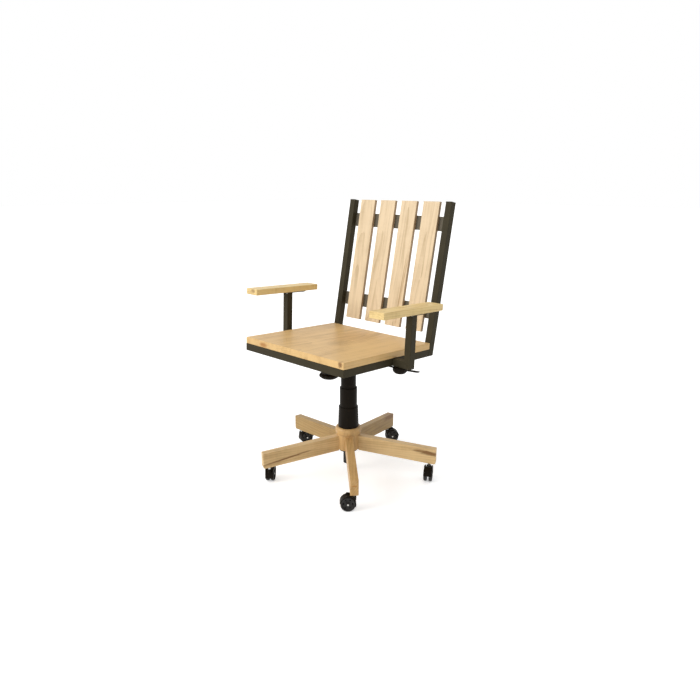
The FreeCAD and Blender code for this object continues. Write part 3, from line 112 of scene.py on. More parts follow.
# %% Helper for node graphs
class Wiring:
    """Adds nodes to one node tree; an input may be another node's socket or a plain value."""

    def __init__(self, tree):
        self.tree = tree

    def node(self, kind, inputs=None, **settings):
        """A node with its settings and inputs."""
        made = self.tree.nodes.new(kind)
        for name, setting in settings.items():
            setattr(made, name, setting)
        for name, value in (inputs or {}).items():
            self.feed(made.inputs[name], value)
        return made

    def feed(self, socket, value):
        """Links a socket, or types a value into it."""
        if isinstance(value, bpy.types.NodeSocket):
            self.tree.links.new(value, socket)
        else:
            socket.default_value = value

    def math(self, operation, *values):
        """One step of arithmetic."""
        return self.node("ShaderNodeMath", dict(enumerate(values)), operation=operation).outputs[0]

    def vector(self, operation, *values):
        """One step of vector arithmetic."""
        return self.node("ShaderNodeVectorMath", dict(enumerate(values)), operation=operation).outputs[0]

    def length(self, vector):
        """The length of a vector."""
        return self.node("ShaderNodeVectorMath", {0: vector}, operation="LENGTH").outputs["Value"]

    def split(self, vector):
        """The three parts of a vector."""
        return self.node("ShaderNodeSeparateXYZ", {0: vector}).outputs

    def join(self, x, y, z):
        """A vector from three numbers."""
        return self.node("ShaderNodeCombineXYZ", {0: x, 1: y, 2: z}).outputs[0]

    def noise(self, vector, scale=1.0, detail=3.0, roughness=0.5):
        """Smooth noise from 0 to 1, about 0.5."""
        return self.node("ShaderNodeTexNoise", {"Vector": vector, "Scale": scale, "Detail": detail,
                                                "Roughness": roughness}).outputs["Fac"]

    def rise(self, value, low, high, start=0.0, end=1.0):
        """A smooth step: start below low, end above high."""
        limits = {"From Min": low, "From Max": high, "To Min": start, "To Max": end}
        made = self.node("ShaderNodeMapRange", {"Value": value, **limits}, interpolation_type="SMOOTHSTEP")
        return made.outputs[0]

    def mix(self, factor, a, b, blend="MIX"):
        """A blend of two colours."""
        made = self.node("ShaderNodeMix", data_type="RGBA", blend_type=blend)
        for socket, value in ((made.inputs[0], factor), (made.inputs[6], a), (made.inputs[7], b)):
            self.feed(socket, value)
        return made.outputs[2]


def new_group(name, inputs, outputs):
    """An empty node group with named sockets, and its wiring, input node and output node."""
    tree = bpy.data.node_groups.new(name, "ShaderNodeTree")
    for socket_name, kind, value in inputs:
        socket = tree.interface.new_socket(socket_name, in_out="INPUT", socket_type=kind)
        if value is not None:
            socket.default_value = value
    for socket_name, kind in outputs:
        tree.interface.new_socket(socket_name, in_out="OUTPUT", socket_type=kind)
    wiring = Wiring(tree)
    return wiring, wiring.node("NodeGroupInput").outputs, wiring.node("NodeGroupOutput").inputs


FLOAT = "NodeSocketFloat"
COLOR = "NodeSocketColor"
VECTOR = "NodeSocketVector"

# %% [markdown]
# ## Maple
# Maple is pale and close-grained. A board is a slice out of a tree, so its pattern is worked out in three
# dimensions: rings about a far-off heart, fine fibres along the grain, small flecks, and a faint ripple
# across. Because the pattern fills the board's whole volume, end grain and face grain meet at the edges by
# themselves. The coordinates are the board's own: x runs along the grain, y across it, z through the
# thickness.


# %% Node group: maple
def maple_group():
    """Rings are lengths from the heart of the tree; fibres and flecks are noise stretched along x."""
    g, given, out = new_group("maple", [
        ("Board", VECTOR, None), ("Seed", FLOAT, 0.0), ("Stave Width", FLOAT, 10.0), ("Tone", FLOAT, 0.0),
        ("Ripple", FLOAT, 0.3), ("Ring Spacing", FLOAT, 0.005), ("Pale", COLOR, (0.86, 0.68, 0.46, 1)),
        ("Honey", COLOR, (0.70, 0.47, 0.25, 1)), ("Brown", COLOR, (0.42, 0.24, 0.11, 1)),
    ], [("Color", COLOR), ("Roughness", FLOAT), ("Height", FLOAT)])
    x, y, z = g.split(given["Board"])
    stave = g.math("FLOOR", g.math("DIVIDE", y, given["Stave Width"]))
    chance = g.node("ShaderNodeTexWhiteNoise", {"W": g.math("MULTIPLY_ADD", stave, 3.7, given["Seed"])},
                    noise_dimensions="1D").outputs["Value"]
    moved = g.join(g.math("MULTIPLY_ADD", chance, 4.0, x), y, g.math("MULTIPLY_ADD", chance, 0.05, z))
    seeds = g.join(given["Seed"], given["Seed"], given["Seed"])
    tree_place = g.vector("ADD", moved, g.vector("MULTIPLY", seeds, (1.31, 0.017, 0.57)))
    wander = g.noise(g.vector("MULTIPLY", tree_place, (1.9, 11.0, 11.0)), 1.0, 2.0)
    wander = g.math("SUBTRACT", wander, 0.5)
    heart = g.vector("MULTIPLY", moved, (0.035, 1.0, 1.0))
    drift = g.join(0.0, g.math("MULTIPLY", wander, 0.016), g.math("MULTIPLY_ADD", wander, 0.03, 0.055))
    heart = g.vector("ADD", heart, drift)
    rings = g.math("FRACT", g.math("DIVIDE", g.length(heart), given["Ring Spacing"]))
    late_wood = g.math("POWER", rings, 3.0)
    fibres = g.noise(g.vector("MULTIPLY", tree_place, (9.0, 520.0, 520.0)), 1.0, 4.0, 0.65)
    broad = g.noise(g.vector("MULTIPLY", tree_place, (2.2, 42.0, 42.0)), 1.0, 3.0, 0.6)
    blotch = g.noise(g.vector("MULTIPLY", tree_place, (11.0, 16.0, 16.0)), 1.0, 2.0)
    ripple = g.noise(g.vector("MULTIPLY", tree_place, (95.0, 14.0, 14.0)), 1.0, 1.0)
    flecks = g.rise(g.noise(g.vector("MULTIPLY", tree_place, (160.0, 1500.0, 1500.0)), 1.0, 1.0), 0.66, 0.76)
    tone = given["Tone"]
    for pattern, strength in ((late_wood, 0.30), (fibres, 0.70), (broad, 1.25), (blotch, 0.60)):
        tone = g.math("MULTIPLY_ADD", g.math("SUBTRACT", pattern, 0.5), strength, tone)
    tone = g.math("MULTIPLY_ADD", g.math("SUBTRACT", chance, 0.5), 0.16, tone)
    tone = g.math("MULTIPLY_ADD", g.math("SUBTRACT", ripple, 0.5), g.math("MULTIPLY", given["Ripple"], 0.6),
                  tone)
    tone = g.math("MULTIPLY_ADD", flecks, 0.10, tone)
    color = g.mix(g.rise(tone, -0.28, 0.62), given["Pale"], given["Honey"])
    color = g.mix(g.rise(tone, 0.45, 1.2), color, given["Brown"])
    g.feed(out["Color"], color)
    g.feed(out["Roughness"], g.math("MULTIPLY_ADD", fibres, 0.16, 0.34))
    height = g.math("MULTIPLY_ADD", late_wood, 0.25, g.math("MULTIPLY", fibres, 0.6))
    g.feed(out["Height"], g.math("SUBTRACT", height, g.math("MULTIPLY", flecks, 0.3)))
    return g.tree

# %% [markdown]
# Real boards carry accidents: a brown mineral streak along the grain, a knot, a darker cloud. Each is a
# soft ellipse about a chosen spot, roughened with noise, so one group draws them all with different sizes.


# %% Node group: mark in the wood
def mark_group():
    """A mask that is 1 at the centre and falls to 0 at the given half length and half width."""
    g, given, out = new_group("wood_mark", [
        ("Board", VECTOR, None), ("Centre", VECTOR, None), ("Half Length", FLOAT, 0.05),
        ("Half Width", FLOAT, 0.004), ("Half Depth", FLOAT, 0.02), ("Slope", FLOAT, 0.0),
        ("Raggedness", FLOAT, 0.4),
    ], [("Mask", FLOAT)])
    x, y, z = g.split(g.vector("SUBTRACT", given["Board"], given["Centre"]))
    y = g.math("SUBTRACT", y, g.math("MULTIPLY", x, given["Slope"]))
    scaled = g.join(g.math("DIVIDE", x, given["Half Length"]), g.math("DIVIDE", y, given["Half Width"]),
                    g.math("DIVIDE", z, given["Half Depth"]))
    rough = g.noise(g.vector("MULTIPLY", given["Board"], (45.0, 420.0, 420.0)), 1.0, 3.0, 0.6)
    rough = g.math("MULTIPLY", g.math("SUBTRACT", rough, 0.5), given["Raggedness"])
    reach = g.math("MULTIPLY_ADD", rough, 2.0, g.length(scaled))
    g.feed(out["Mask"], g.rise(reach, 1.0, 0.35))
    return g.tree


MAPLE = maple_group()
MARK = mark_group()
print("groups:", [group.name for group in bpy.data.node_groups])


# %% Maple material
def finish_of(name):
    """A new material, its wiring and its Principled shader."""
    material = bpy.data.materials.new(name)
    material.use_nodes = True
    wiring = Wiring(material.node_tree)
    return material, wiring, material.node_tree.nodes["Principled BSDF"]


def board_place(w, place):
    """Object coordinates turned into the board's own, with a Mapping node."""
    inverse = place.inverted()
    coordinates = w.node("ShaderNodeTexCoord").outputs["Object"]
    mapping = w.node("ShaderNodeMapping", {"Vector": coordinates, "Location": inverse.to_translation(),
                                           "Rotation": inverse.to_euler()})
    return mapping.outputs[0]


def board_axes(base, along, across):
    """A frame on a base frame, with x along the grain and y across it."""
    x, y = Vector(along).normalized(), Vector(across).normalized()
    z = x.cross(y)
    return base @ Matrix((x, y, z)).transposed().to_4x4()


def bump(w, shader, height, strength, distance):
    """Raises the surface by a pattern."""
    made = w.node("ShaderNodeBump", {"Height": height, "Strength": strength, "Distance": distance})
    w.feed(shader.inputs["Normal"], made.outputs[0])


def maple(name, place, seed, tone=0.0, marks=(), **values):
    """Lacquered maple; each mark is a colour, a strength and the values of its group."""
    material, w, shader = finish_of(name)
    board = board_place(w, place)
    wood = w.node("ShaderNodeGroup", node_tree=MAPLE)
    for socket, value in {"Board": board, "Seed": seed, "Tone": tone, **values}.items():
        w.feed(wood.inputs[socket], value)
    color = wood.outputs["Color"]
    for mark_color, strength, sizes in marks:
        mark = w.node("ShaderNodeGroup", {"Board": board, **sizes}, node_tree=MARK)
        color = w.mix(w.math("MULTIPLY", mark.outputs["Mask"], strength), color, mark_color)
    w.feed(shader.inputs["Base Color"], color)
    w.feed(shader.inputs["Roughness"], wood.outputs["Roughness"])
    shader.inputs["Specular IOR Level"].default_value = 0.25
    shader.inputs["Coat Weight"].default_value = 0.05
    shader.inputs["Coat Roughness"].default_value = 0.3
    bump(w, shader, wood.outputs["Height"], 0.25, 0.0003)
    return material


STREAK = (0.20, 0.095, 0.03, 1)
KNOT = (0.42, 0.19, 0.05, 1)
CLOUD = (0.44, 0.27, 0.11, 1)


def mark(color, strength, centre, half_sizes, raggedness, slope=0.0):
    """A mark for maple(): its place, half its length, width and depth, its ragged edge and its slope."""
    length, width, depth = half_sizes
    return color, strength, {"Centre": centre, "Half Length": length, "Half Width": width,
                             "Half Depth": depth, "Slope": slope, "Raggedness": raggedness}


def wear(node, material):
    """Gives a CAD node one material."""
    mesh = frame["nodes"][node].data
    mesh.materials.clear()
    mesh.materials.append(material)

# %% [markdown]
# The seat is glued up from boards that run front to back, so its front edge shows end grain. It has a brown
# knot in that edge, a dark line near the corner and a few warm clouds in the middle.

# %% Seat panel
SEAT_HALF = 0.2415
SEAT_FRONT = 0.278
SEAT_FACE = 0.0484            # the seat's face above the frame's underside
SEAT_STAVE = 0.0805           # width of each glued-up board
seat_marks = [
    mark(KNOT, 0.95, (-SEAT_FRONT, 0.146, 0.0355), (0.02, 0.026, 0.011), 0.3),
    mark(STREAK, 0.9, (-SEAT_FRONT, -0.226, 0.040), (0.02, 0.011, 0.013), 0.7),
    mark(CLOUD, 0.55, (-0.085, -0.035, SEAT_FACE), (0.07, 0.04, 0.02), 1.1),
    mark(KNOT, 0.26, (0.03, 0.0, SEAT_FACE), (0.11, 0.09, 0.03), 1.2),
    mark(CLOUD, 0.25, (-0.17, 0.12, SEAT_FACE), (0.07, 0.025, 0.02), 1.2),
]
SEAT_WOOD = {"Pale": (0.706, 0.465, 0.198, 1), "Honey": (0.443, 0.262, 0.0968, 1)}
seat_board = board_axes(SEAT, (0, 1, 0), (-1, 0, 0))
wear("seat_panel", maple("maple_seat", seat_board, 3.0, 0.0, seat_marks,
                         **{"Stave Width": SEAT_STAVE, "Ripple": 0.5, **SEAT_WOOD}))

# %% Back slats
SLAT_WIDTH = 0.072
SLAT_PITCH = SLAT_WIDTH + (2*SEAT_HALF - 2*TUBE - 4*SLAT_WIDTH)/5
SLAT_FACE = 0.00635           # the slats' front faces behind the posts' front faces
SLAT_DEPTH = 0.0127
# Painted shade: a dark brown band on each slat's right side, where the gap between the slats lies in shade.
slat_gap_shade = mark(STREAK, 0.62, (0.31, SLAT_WIDTH/2 + 0.0003, SLAT_DEPTH), (1.0, 0.0016, 0.03), 0.25)
heart_streaks = [
    mark(STREAK, 0.7, (0.20, 0.018, SLAT_FACE), (0.16, 0.0022, 0.03), 0.5, 0.03),
    mark(STREAK, 0.55, (0.27, 0.027, SLAT_FACE), (0.10, 0.0020, 0.03), 0.6, 0.075),
    mark(CLOUD, 0.35, (0.22, 0.022, SLAT_FACE), (0.2, 0.009, 0.03), 0.9, 0.04),
]
SLAT_WOOD = {"Pale": (0.728, 0.567, 0.369, 1), "Honey": (0.459, 0.332, 0.18, 1)}
for number, tone, marks in ((1, -0.02, []), (2, 0.02, []), (3, 0.0, heart_streaks), (4, 0.04, [])):
    middle = (number - 2.5)*SLAT_PITCH
    place = board_axes(BACK @ Matrix.Translation((middle, 0, 0)), (0, 0, 1), (1, 0, 0))
    seed = 10.0 + 2.7*number
    wear(f"back_slat_{number}", maple(f"maple_slat_{number}", place, seed, tone, marks + [slat_gap_shade],
                                      **{"Ripple": 0.25, **SLAT_WOOD}))

# %% Arm pads
ARM_SPREAD = 0.3018
ARM_PLATE_TOP = 0.1852
PAD_THICKNESS = 0.022
PAD_FRONT = -0.2062
PAD_MIDDLE = ARM_PLATE_TOP + PAD_THICKNESS/2
pad_marks = {
    "left": [],
    "right": [mark(STREAK, 0.6, (PAD_FRONT, -0.008, 0.004), (0.02, 0.016, 0.009), 0.8),
              mark(CLOUD, 0.5, (PAD_FRONT + 0.03, 0.0, -0.004), (0.05, 0.02, 0.02), 1.0)],
}
PAD_WOOD = {"Pale": (0.792, 0.589, 0.262, 1), "Honey": (0.492, 0.328, 0.123, 1)}
for side, sign, seed, ripple in (("left", 1, 31.0, 0.6), ("right", -1, 36.0, 1.3)):
    place = board_axes(SEAT @ Matrix.Translation((sign*ARM_SPREAD, 0, PAD_MIDDLE)), (0, 1, 0), (-1, 0, 0))
    wear(f"arm_pad_{side}", maple(f"maple_arm_{side}", place, seed, 0.0, pad_marks[side],
                                  **{"Ripple": ripple, **PAD_WOOD}))

# %% [markdown]
# The grain runs level along each leg. The two front legs have long mineral streaks that catch the eye in
# the photograph, a rear leg has a dark top corner, and the nearest leg has a short dash across its end.

# %% Legs
LEG_REACH = 0.3335
LEG_HALF = 0.014
leg_marks = {
    1: [mark(KNOT, 0.9, (LEG_REACH, 0.0995, 0.0), (0.01, 0.0036, 0.014), 0.4)],
    2: [mark(STREAK, 0.95, (0.305, 0.106, LEG_HALF), (0.07, 0.011, 0.03), 0.6, -0.125),
        mark(STREAK, 0.5, (0.33, 0.0965, LEG_HALF), (0.05, 0.002, 0.03), 0.6, -0.05)],
    3: [mark(STREAK, 0.9, (0.298, 0.116, LEG_HALF), (0.062, 0.014, 0.05), 0.7, -0.06)],
    4: [mark(STREAK, 0.25, (0.12, 0.1105, -LEG_HALF), (0.06, 0.003, 0.03), 0.8, -0.2)],
    5: [mark(STREAK, 0.9, (0.255, 0.0895, -LEG_HALF), (0.145, 0.0048, 0.03), 0.45, -0.176),
        mark(CLOUD, 0.5, (0.30, 0.0755, -LEG_HALF), (0.06, 0.006, 0.03), 0.8, -0.1)],
}
FRONT_LEG = {"Pale": (0.706, 0.492, 0.241, 1), "Honey": (0.435, 0.275, 0.111, 1)}
# Painted shade: the near leg and the two rear legs get darker wood for the shade under the seat, deepest at
# the back.
NEAR_LEG_SHADED = {"Pale": (0.589, 0.364, 0.144, 1), "Honey": (0.353, 0.197, 0.0656, 1)}
REAR_LEG_SHADED = {"Pale": (0.417, 0.268, 0.0984, 1), "Honey": (0.246, 0.143, 0.0451, 1)}
leg_wood_and_shade = {1: NEAR_LEG_SHADED, 2: FRONT_LEG, 3: REAR_LEG_SHADED, 4: REAR_LEG_SHADED, 5: FRONT_LEG}
for k in LEGS:
    place = board_axes(LEG[k], (1, 0, 0), (0, 0, 1))
    wear(f"base_leg_{k}", maple(f"maple_leg_{k}", place, 50.0 + 3.1*k, 0.03*(k % 2), leg_marks[k],
                                **{"Ripple": 0.35, "Ring Spacing": 0.006, **leg_wood_and_shade[k]}))
print("wooden pieces dressed")

# %% [markdown]
# ## Painted steel
# The tubes have a dark bronze powder coat: nearly black, slightly warm, with a fine orange-peel texture
# that breaks up the light. The sheet-metal mechanism under the seat has a plainer black coat.


# %% Node group: powder coat
def coat_group():
    """Fine noise raises the paint, coarser noise shifts its colour and gloss."""
    g, given, out = new_group("powder_coat", [
        ("Place", VECTOR, None), ("Paint", COLOR, (0.05, 0.04, 0.03, 1)),
        ("Dust", COLOR, (0.12, 0.105, 0.08, 1)), ("Grain", FLOAT, 900.0), ("Gloss", FLOAT, 0.42),
    ], [("Color", COLOR), ("Roughness", FLOAT), ("Height", FLOAT)])
    peel = g.noise(given["Place"], given["Grain"], 2.0, 0.6)
    cloud = g.noise(given["Place"], 14.0, 3.0, 0.6)
    speck = g.rise(g.noise(given["Place"], 2300.0, 1.0), 0.62, 0.74)
    g.feed(out["Color"], g.mix(g.math("MULTIPLY_ADD", speck, 0.25, g.rise(cloud, 0.35, 0.8, 0.0, 0.22)),
                               given["Paint"], given["Dust"]))
    g.feed(out["Roughness"], g.math("MULTIPLY_ADD", cloud, 0.18, given["Gloss"]))
    g.feed(out["Height"], peel)
    return g.tree


COAT = coat_group()


def painted(name, strength=0.35, specular=0.35, **values):
    """Powder-coated steel."""
    material, w, shader = finish_of(name)
    place = w.node("ShaderNodeTexCoord").outputs["Object"]
    coat = w.node("ShaderNodeGroup", {"Place": place, **values}, node_tree=COAT)
    w.feed(shader.inputs["Base Color"], coat.outputs["Color"])
    w.feed(shader.inputs["Roughness"], coat.outputs["Roughness"])
    shader.inputs["Specular IOR Level"].default_value = specular
    bump(w, shader, coat.outputs["Height"], strength, 0.00025)
    return material


BRONZE = painted("bronze_coat", 0.35, 0.08, Paint=(0.040, 0.033, 0.018, 1), Dust=(0.085, 0.072, 0.044, 1))
BLACK_STEEL = painted("black_coat", 0.2, 0.2, Paint=(0.010, 0.009, 0.008, 1), Dust=(0.03, 0.027, 0.022, 1),
                      Gloss=0.36)
BAR_COAT = painted("bar_coat", 0.35, 0.1, Paint=(0.12, 0.105, 0.078, 1), Dust=(0.18, 0.155, 0.115, 1))
for node in ("seat_frame", "back_post_left", "back_post_right", "arm_frame_left", "arm_frame_right"):
    wear(node, BRONZE)
for node in ("back_bar_upper", "back_bar_lower"):
    wear(node, BAR_COAT)

# %% [markdown]
# ## Plastic and bare steel
# The covers, knobs and caster hoods are black mouldings with a fine spark-eroded grain. Bolts and axles are
# zinc plated, and the gas lift's sliding parts are ground steel with faint rings from the grinding.

# %% Plastics
PLASTIC = painted("black_moulding", 0.25, 0.08, Paint=(0.007, 0.0045, 0.002, 1),
                  Dust=(0.018, 0.013, 0.008, 1), Grain=1500.0, Gloss=0.34)
TREAD = painted("wheel_nylon", 0.3, 0.3, Paint=(0.022, 0.020, 0.018, 1), Dust=(0.10, 0.092, 0.08, 1),
                Grain=700.0, Gloss=0.42)
BUSH = painted("bush_acetal", 0.1, 0.5, Paint=(0.72, 0.69, 0.6, 1), Dust=(0.6, 0.56, 0.47, 1), Gloss=0.3)


# %% Bare steels
def bare_steel(name, color, roughness, stretch, strength):
    """Metal whose gloss and height follow noise, stretched to show how it was worked."""
    material, w, shader = finish_of(name)
    place = w.node("ShaderNodeTexCoord").outputs["Object"]
    scratches = w.noise(w.vector("MULTIPLY", place, stretch), 1.0, 3.0, 0.6)
    cloud = w.noise(place, 60.0, 2.0)
    w.feed(shader.inputs["Base Color"], w.mix(w.rise(cloud, 0.3, 0.7, 0.0, 0.5), color,
                                              tuple(0.72*part for part in color[:3]) + (1,)))
    w.feed(shader.inputs["Roughness"], w.math("MULTIPLY_ADD", scratches, 0.22, roughness))
    shader.inputs["Metallic"].default_value = 1.0
    bump(w, shader, scratches, strength, 0.0001)
    return material


ZINC = bare_steel("zinc_plate", (0.62, 0.61, 0.57, 1), 0.26, (700.0, 700.0, 700.0), 0.15)
GROUND = bare_steel("ground_steel", (0.58, 0.58, 0.59, 1), 0.12, (40.0, 40.0, 2600.0), 0.1)

# %% [markdown]
# ## Surfaces
# Turned, moulded and coiled pieces are grids of points: rows run along a profile or a path, columns run
# round it. One helper lays four-sided faces over such a grid, and another joins the grids of a piece into
# one clean mesh.


# %% Helpers for surfaces
def skin(grid, close_rows=False, close_columns=True):
    """Points of a grid, and the four-sided faces between neighbouring rows and columns."""
    rows, columns = grid.shape[:2]
    number = np.arange(rows*columns).reshape(rows, columns)
    if close_rows:
        number = np.vstack((number, number[:1]))
    if close_columns:
        number = np.hstack((number, number[:, :1]))
    corners = (number[:-1, :-1], number[:-1, 1:], number[1:, 1:], number[1:, :-1])
    return grid.reshape(-1, 3), np.stack(corners, axis=-1).reshape(-1, 4)


def piece(name, skins, place, material, body, replaces=(), sharp=35):
    """One mesh from several skins, with poles merged, faces outwards and edges over the sharp angle crisp."""
    matrix = np.array(place)
    starts = np.cumsum([0] + [len(points) for points, _ in skins[:-1]])
    points = np.vstack([points for points, _ in skins]) @ matrix[:3, :3].T + matrix[:3, 3]
    faces = np.vstack([faces + start for (_, faces), start in zip(skins, starts)])
    mesh = bpy.data.meshes.new(name)
    mesh.from_pydata(points, [], faces.tolist())
    clean(mesh)
    return show(name, mesh, material, body, replaces, sharp)


def clean(mesh):
    """Merges doubled points, removes collapsed faces and turns every face outwards."""
    work = bmesh.new()
    work.from_mesh(mesh)
    bmesh.ops.remove_doubles(work, verts=work.verts, dist=1e-7)
    bmesh.ops.dissolve_degenerate(work, edges=work.edges, dist=1e-8)
    bmesh.ops.recalc_face_normals(work, faces=work.faces)
    work.to_mesh(mesh)
    work.free()


def show(name, mesh, material, body, replaces=(), sharp=35):
    """Puts a finished mesh in the scene, on its CAD body and in place of its CAD nodes."""
    mesh.shade_smooth()
    mesh.set_sharp_from_angle(angle=radians(sharp))
    mesh.materials.append(material)
    made = bpy.data.objects.new(name, mesh)
    bpy.context.scene.collection.objects.link(made)
    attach(made, body)
    if replaces:
        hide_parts(*replaces)
    return made


def rounded(corners, radius, steps=5):
    """A closed outline; a curve that starts and ends at the radius from the corner replaces each corner."""
    corner = np.array(corners, float)
    before, after = np.roll(corner, 1, 0) - corner, np.roll(corner, -1, 0) - corner
    reach_before, reach_after = np.linalg.norm(before, axis=1), np.linalg.norm(after, axis=1)
    reach = np.minimum(np.broadcast_to(radius, len(corner)), 0.45*np.minimum(reach_before, reach_after))
    start = corner + before*(reach/reach_before)[:, None]
    end = corner + after*(reach/reach_after)[:, None]
    t = np.linspace(0, 1, steps)[None, :, None]
    curve = (1 - t)**2*start[:, None] + 2*t*(1 - t)*corner[:, None] + t**2*end[:, None]
    return curve.reshape(-1, 2)


def turned(profile, sides=96, swell=None):
    """A profile of (radius, height) points turned about z; swell gives a factor for the radius."""
    angle = np.linspace(0, 2*pi, sides, endpoint=False)[None, :]
    radius, height = profile[:, 0][:, None], profile[:, 1][:, None]
    if swell is not None:
        radius = radius*swell(angle, radius, height)
    grid = np.stack((radius*np.cos(angle), radius*np.sin(angle), height + 0*angle), axis=-1)
    return skin(grid, close_rows=True)

# %% [markdown]
# ## Gas-lift covers
# Three black tubes slide into one another. Each has a rounded rim, and the upper two have a narrow foot lip
# that rides inside the cover below. Their profiles are the CAD's, with the rims rounded as a mould leaves
# them.

# %% Covers
SOCKET_FOOT = FRAME_LEVEL - 0.0595
COVER_WALL = 0.002
HUB_TOP = 0.1775
LOWER_RADIUS = 0.0386         # at the hub
LOWER_RIM = LOWER_RADIUS - 0.0026
LOWER_HOLE = 0.033
LOWER_TOP = 0.2565
FOOT_LIP = 0.0012
covers = {
    "lower": [(LOWER_RADIUS - COVER_WALL, HUB_TOP), (LOWER_RADIUS, HUB_TOP), (LOWER_RIM, LOWER_TOP),
              (LOWER_HOLE, LOWER_TOP), (LOWER_HOLE, LOWER_TOP - COVER_WALL),
              (LOWER_RIM - COVER_WALL, LOWER_TOP - COVER_WALL)],
}
for label, radius, foot, top, hole in (("middle", 0.0322, 0.2455, 0.3305, 0.0288),
                                       ("upper", 0.028, 0.3205, SOCKET_FOOT - 0.0008, 0.0141)):
    lip = radius + FOOT_LIP
    covers[label] = [(radius - COVER_WALL, foot), (lip, foot), (lip, foot + COVER_WALL),
                     (radius, foot + COVER_WALL), (radius, top), (hole, top), (hole, top - COVER_WALL),
                     (radius - COVER_WALL, top - COVER_WALL)]
COVER_BODY = {"lower": "base", "middle": "middle_cover", "upper": "lift"}
for label, corners in covers.items():
    piece(f"cover_{label}_moulding", [turned(rounded(corners, 0.0009))], COLUMN, PLASTIC, COVER_BODY[label],
          [f"cover_{label}"])

# %% [markdown]
# ## Hub
# The hub is turned from a glued maple block: a bead at the top, a groove under it and a plain body that the
# legs are coped to. Its staves stand upright, so the grain runs up the turning.

# %% Turned hub
HUB_FOOT = 0.0915
HUB_SIDE = 0.045
HUB_BORE = 0.02705
COLLAR = 0.049
NECK = 0.1505                 # foot of the collar
GROOVE = 0.0014
hub_profile = [(HUB_BORE, HUB_FOOT), (HUB_SIDE, HUB_FOOT), (HUB_SIDE, NECK - 2*GROOVE),
               (HUB_SIDE - GROOVE, NECK - GROOVE), (HUB_SIDE, NECK), (COLLAR - 0.003, NECK),
               (COLLAR, NECK + 0.007), (COLLAR, HUB_TOP - 0.008), (COLLAR - 0.004, HUB_TOP),
               (HUB_BORE, HUB_TOP)]
hub_round = np.array([0.0004, 0.0012, 0.0006, 0.0012, 0.0006, 0.002, 0.005, 0.006, 0.004, 0.0004])
HUB_WOOD = {"Pale": (0.599, 0.374, 0.155, 1), "Honey": (0.361, 0.201, 0.0697, 1)}
hub_staves = board_axes(COLUMN, (0, 0, 1), (cos(VIEW_AZIMUTH), sin(VIEW_AZIMUTH), 0))
hub_wood = maple("maple_hub", hub_staves, 71.0, 0.12, **{"Stave Width": 0.021, "Ripple": 0.2, **HUB_WOOD})
piece("hub_turning", [turned(rounded(hub_profile, hub_round, 7))], COLUMN, hub_wood, "base",
      ["base_hub"])

# %% Column and sleeve
COLUMN_FOOT = 0.029
COLUMN_TOP = 0.2535
COLUMN_WALL = 0.0022
FOOT_RADIUS = 0.019           # the narrow foot below the hub
BOLT_HOLE = 0.0053            # in the foot's floor
foot_floor = COLUMN_FOOT + COLUMN_WALL
foot_inside = FOOT_RADIUS - COLUMN_WALL
column_profile = [(BOLT_HOLE, COLUMN_FOOT), (FOOT_RADIUS, COLUMN_FOOT), (FOOT_RADIUS, HUB_FOOT),
                  (0.0225, HUB_FOOT), (0.025, HUB_TOP), (0.025, COLUMN_TOP), (0.0228, COLUMN_TOP),
                  (0.0228, HUB_TOP), (foot_inside, HUB_FOOT + COLUMN_WALL), (foot_inside, foot_floor),
                  (BOLT_HOLE, foot_floor)]
piece("column_pressing", [turned(rounded(column_profile, 0.0012))], COLUMN, BLACK_STEEL, "base",
      ["column_tube"])
sleeve_profile = [(0.0191, HUB_FOOT - 0.008), (0.036, HUB_FOOT - 0.008), (0.036, HUB_FOOT),
                  (0.027, HUB_FOOT), (0.027, HUB_TOP), (0.02505, HUB_TOP), (0.02255, HUB_FOOT - 0.0001),
                  (0.0191, HUB_FOOT - 0.0001)]
piece("hub_sleeve_turning", [turned(rounded(sleeve_profile, 0.0008))], COLUMN, BLACK_STEEL, "base",
      ["hub_sleeve"])

# %% Inner pieces that keep their CAD meshes
for node, material in (("column_bush", BUSH), ("piston_rod", GROUND), ("pressure_tube", GROUND),
                       ("release_pin", GROUND), ("thrust_bearing", ZINC), ("leg_bolts", ZINC),
                       ("caster_sockets", ZINC), ("tilt_pivot", ZINC), ("tension_bolt", ZINC),
                       ("tilt_housing", BLACK_STEEL), ("seat_plate", BLACK_STEEL)):
    wear(node, material)

# %% [markdown]
# ## Knobs
# Hands grip the knobs by shallow hollows round the rim. The rim's radius dips at regular angles, and less
# towards the middle of the knob, so top and bottom faces stay flat.

# %% Lobed knobs
LOBES = 10
LOBE_DEPTH = 0.09             # as a part of the radius


def lobed(rim, depth):
    """Radius factor that dips by depth at each hollow, only near the rim."""

    def swell(angle, radius, height):
        hollow = (0.5 + 0.5*np.cos(LOBES*angle))**3
        near_rim = np.clip((radius/rim - 0.7)/0.3, 0, 1)**2
        return 1 - depth*hollow*near_rim

    return swell


def knob(name, corners, rim, rounding, place, body, node):
    """A closed lobed knob from its profile."""
    profile = rounded(corners, rounding, 6)
    piece(name, [turned(profile, 160, lobed(rim, LOBE_DEPTH))], place, PLASTIC, body, [node])


ARM_KNOB = 0.025
KNOB_GAP = 0.0006
STUD = 0.004                  # radius of the stud on top
STUD_TOP = 0.00175
knob_foot = -0.022 - KNOB_GAP
arm_knob_profile = [(0.0, knob_foot), (ARM_KNOB - 0.009, knob_foot), (ARM_KNOB, knob_foot + 0.009),
                    (ARM_KNOB, -0.0036), (ARM_KNOB - 0.003, -KNOB_GAP), (STUD, -KNOB_GAP), (STUD, STUD_TOP),
                    (0.0, STUD_TOP)]
knob_rounding = np.array([0.0, 0.003, 0.004, 0.002, 0.002, 0.0002, 0.0002, 0.0])
KNOB_SPREAD = (SEAT_HALF + ARM_SPREAD - TUBE/2)/2
ARM_AHEAD = 0.0308
for side, sign in (("left", 1), ("right", -1)):
    knob(f"clamp_knob_{side}", arm_knob_profile, ARM_KNOB, knob_rounding,
         SEAT @ Matrix.Translation((sign*KNOB_SPREAD, -ARM_AHEAD, 0)), f"arm_knob_{side}", f"arm_knob_{side}")

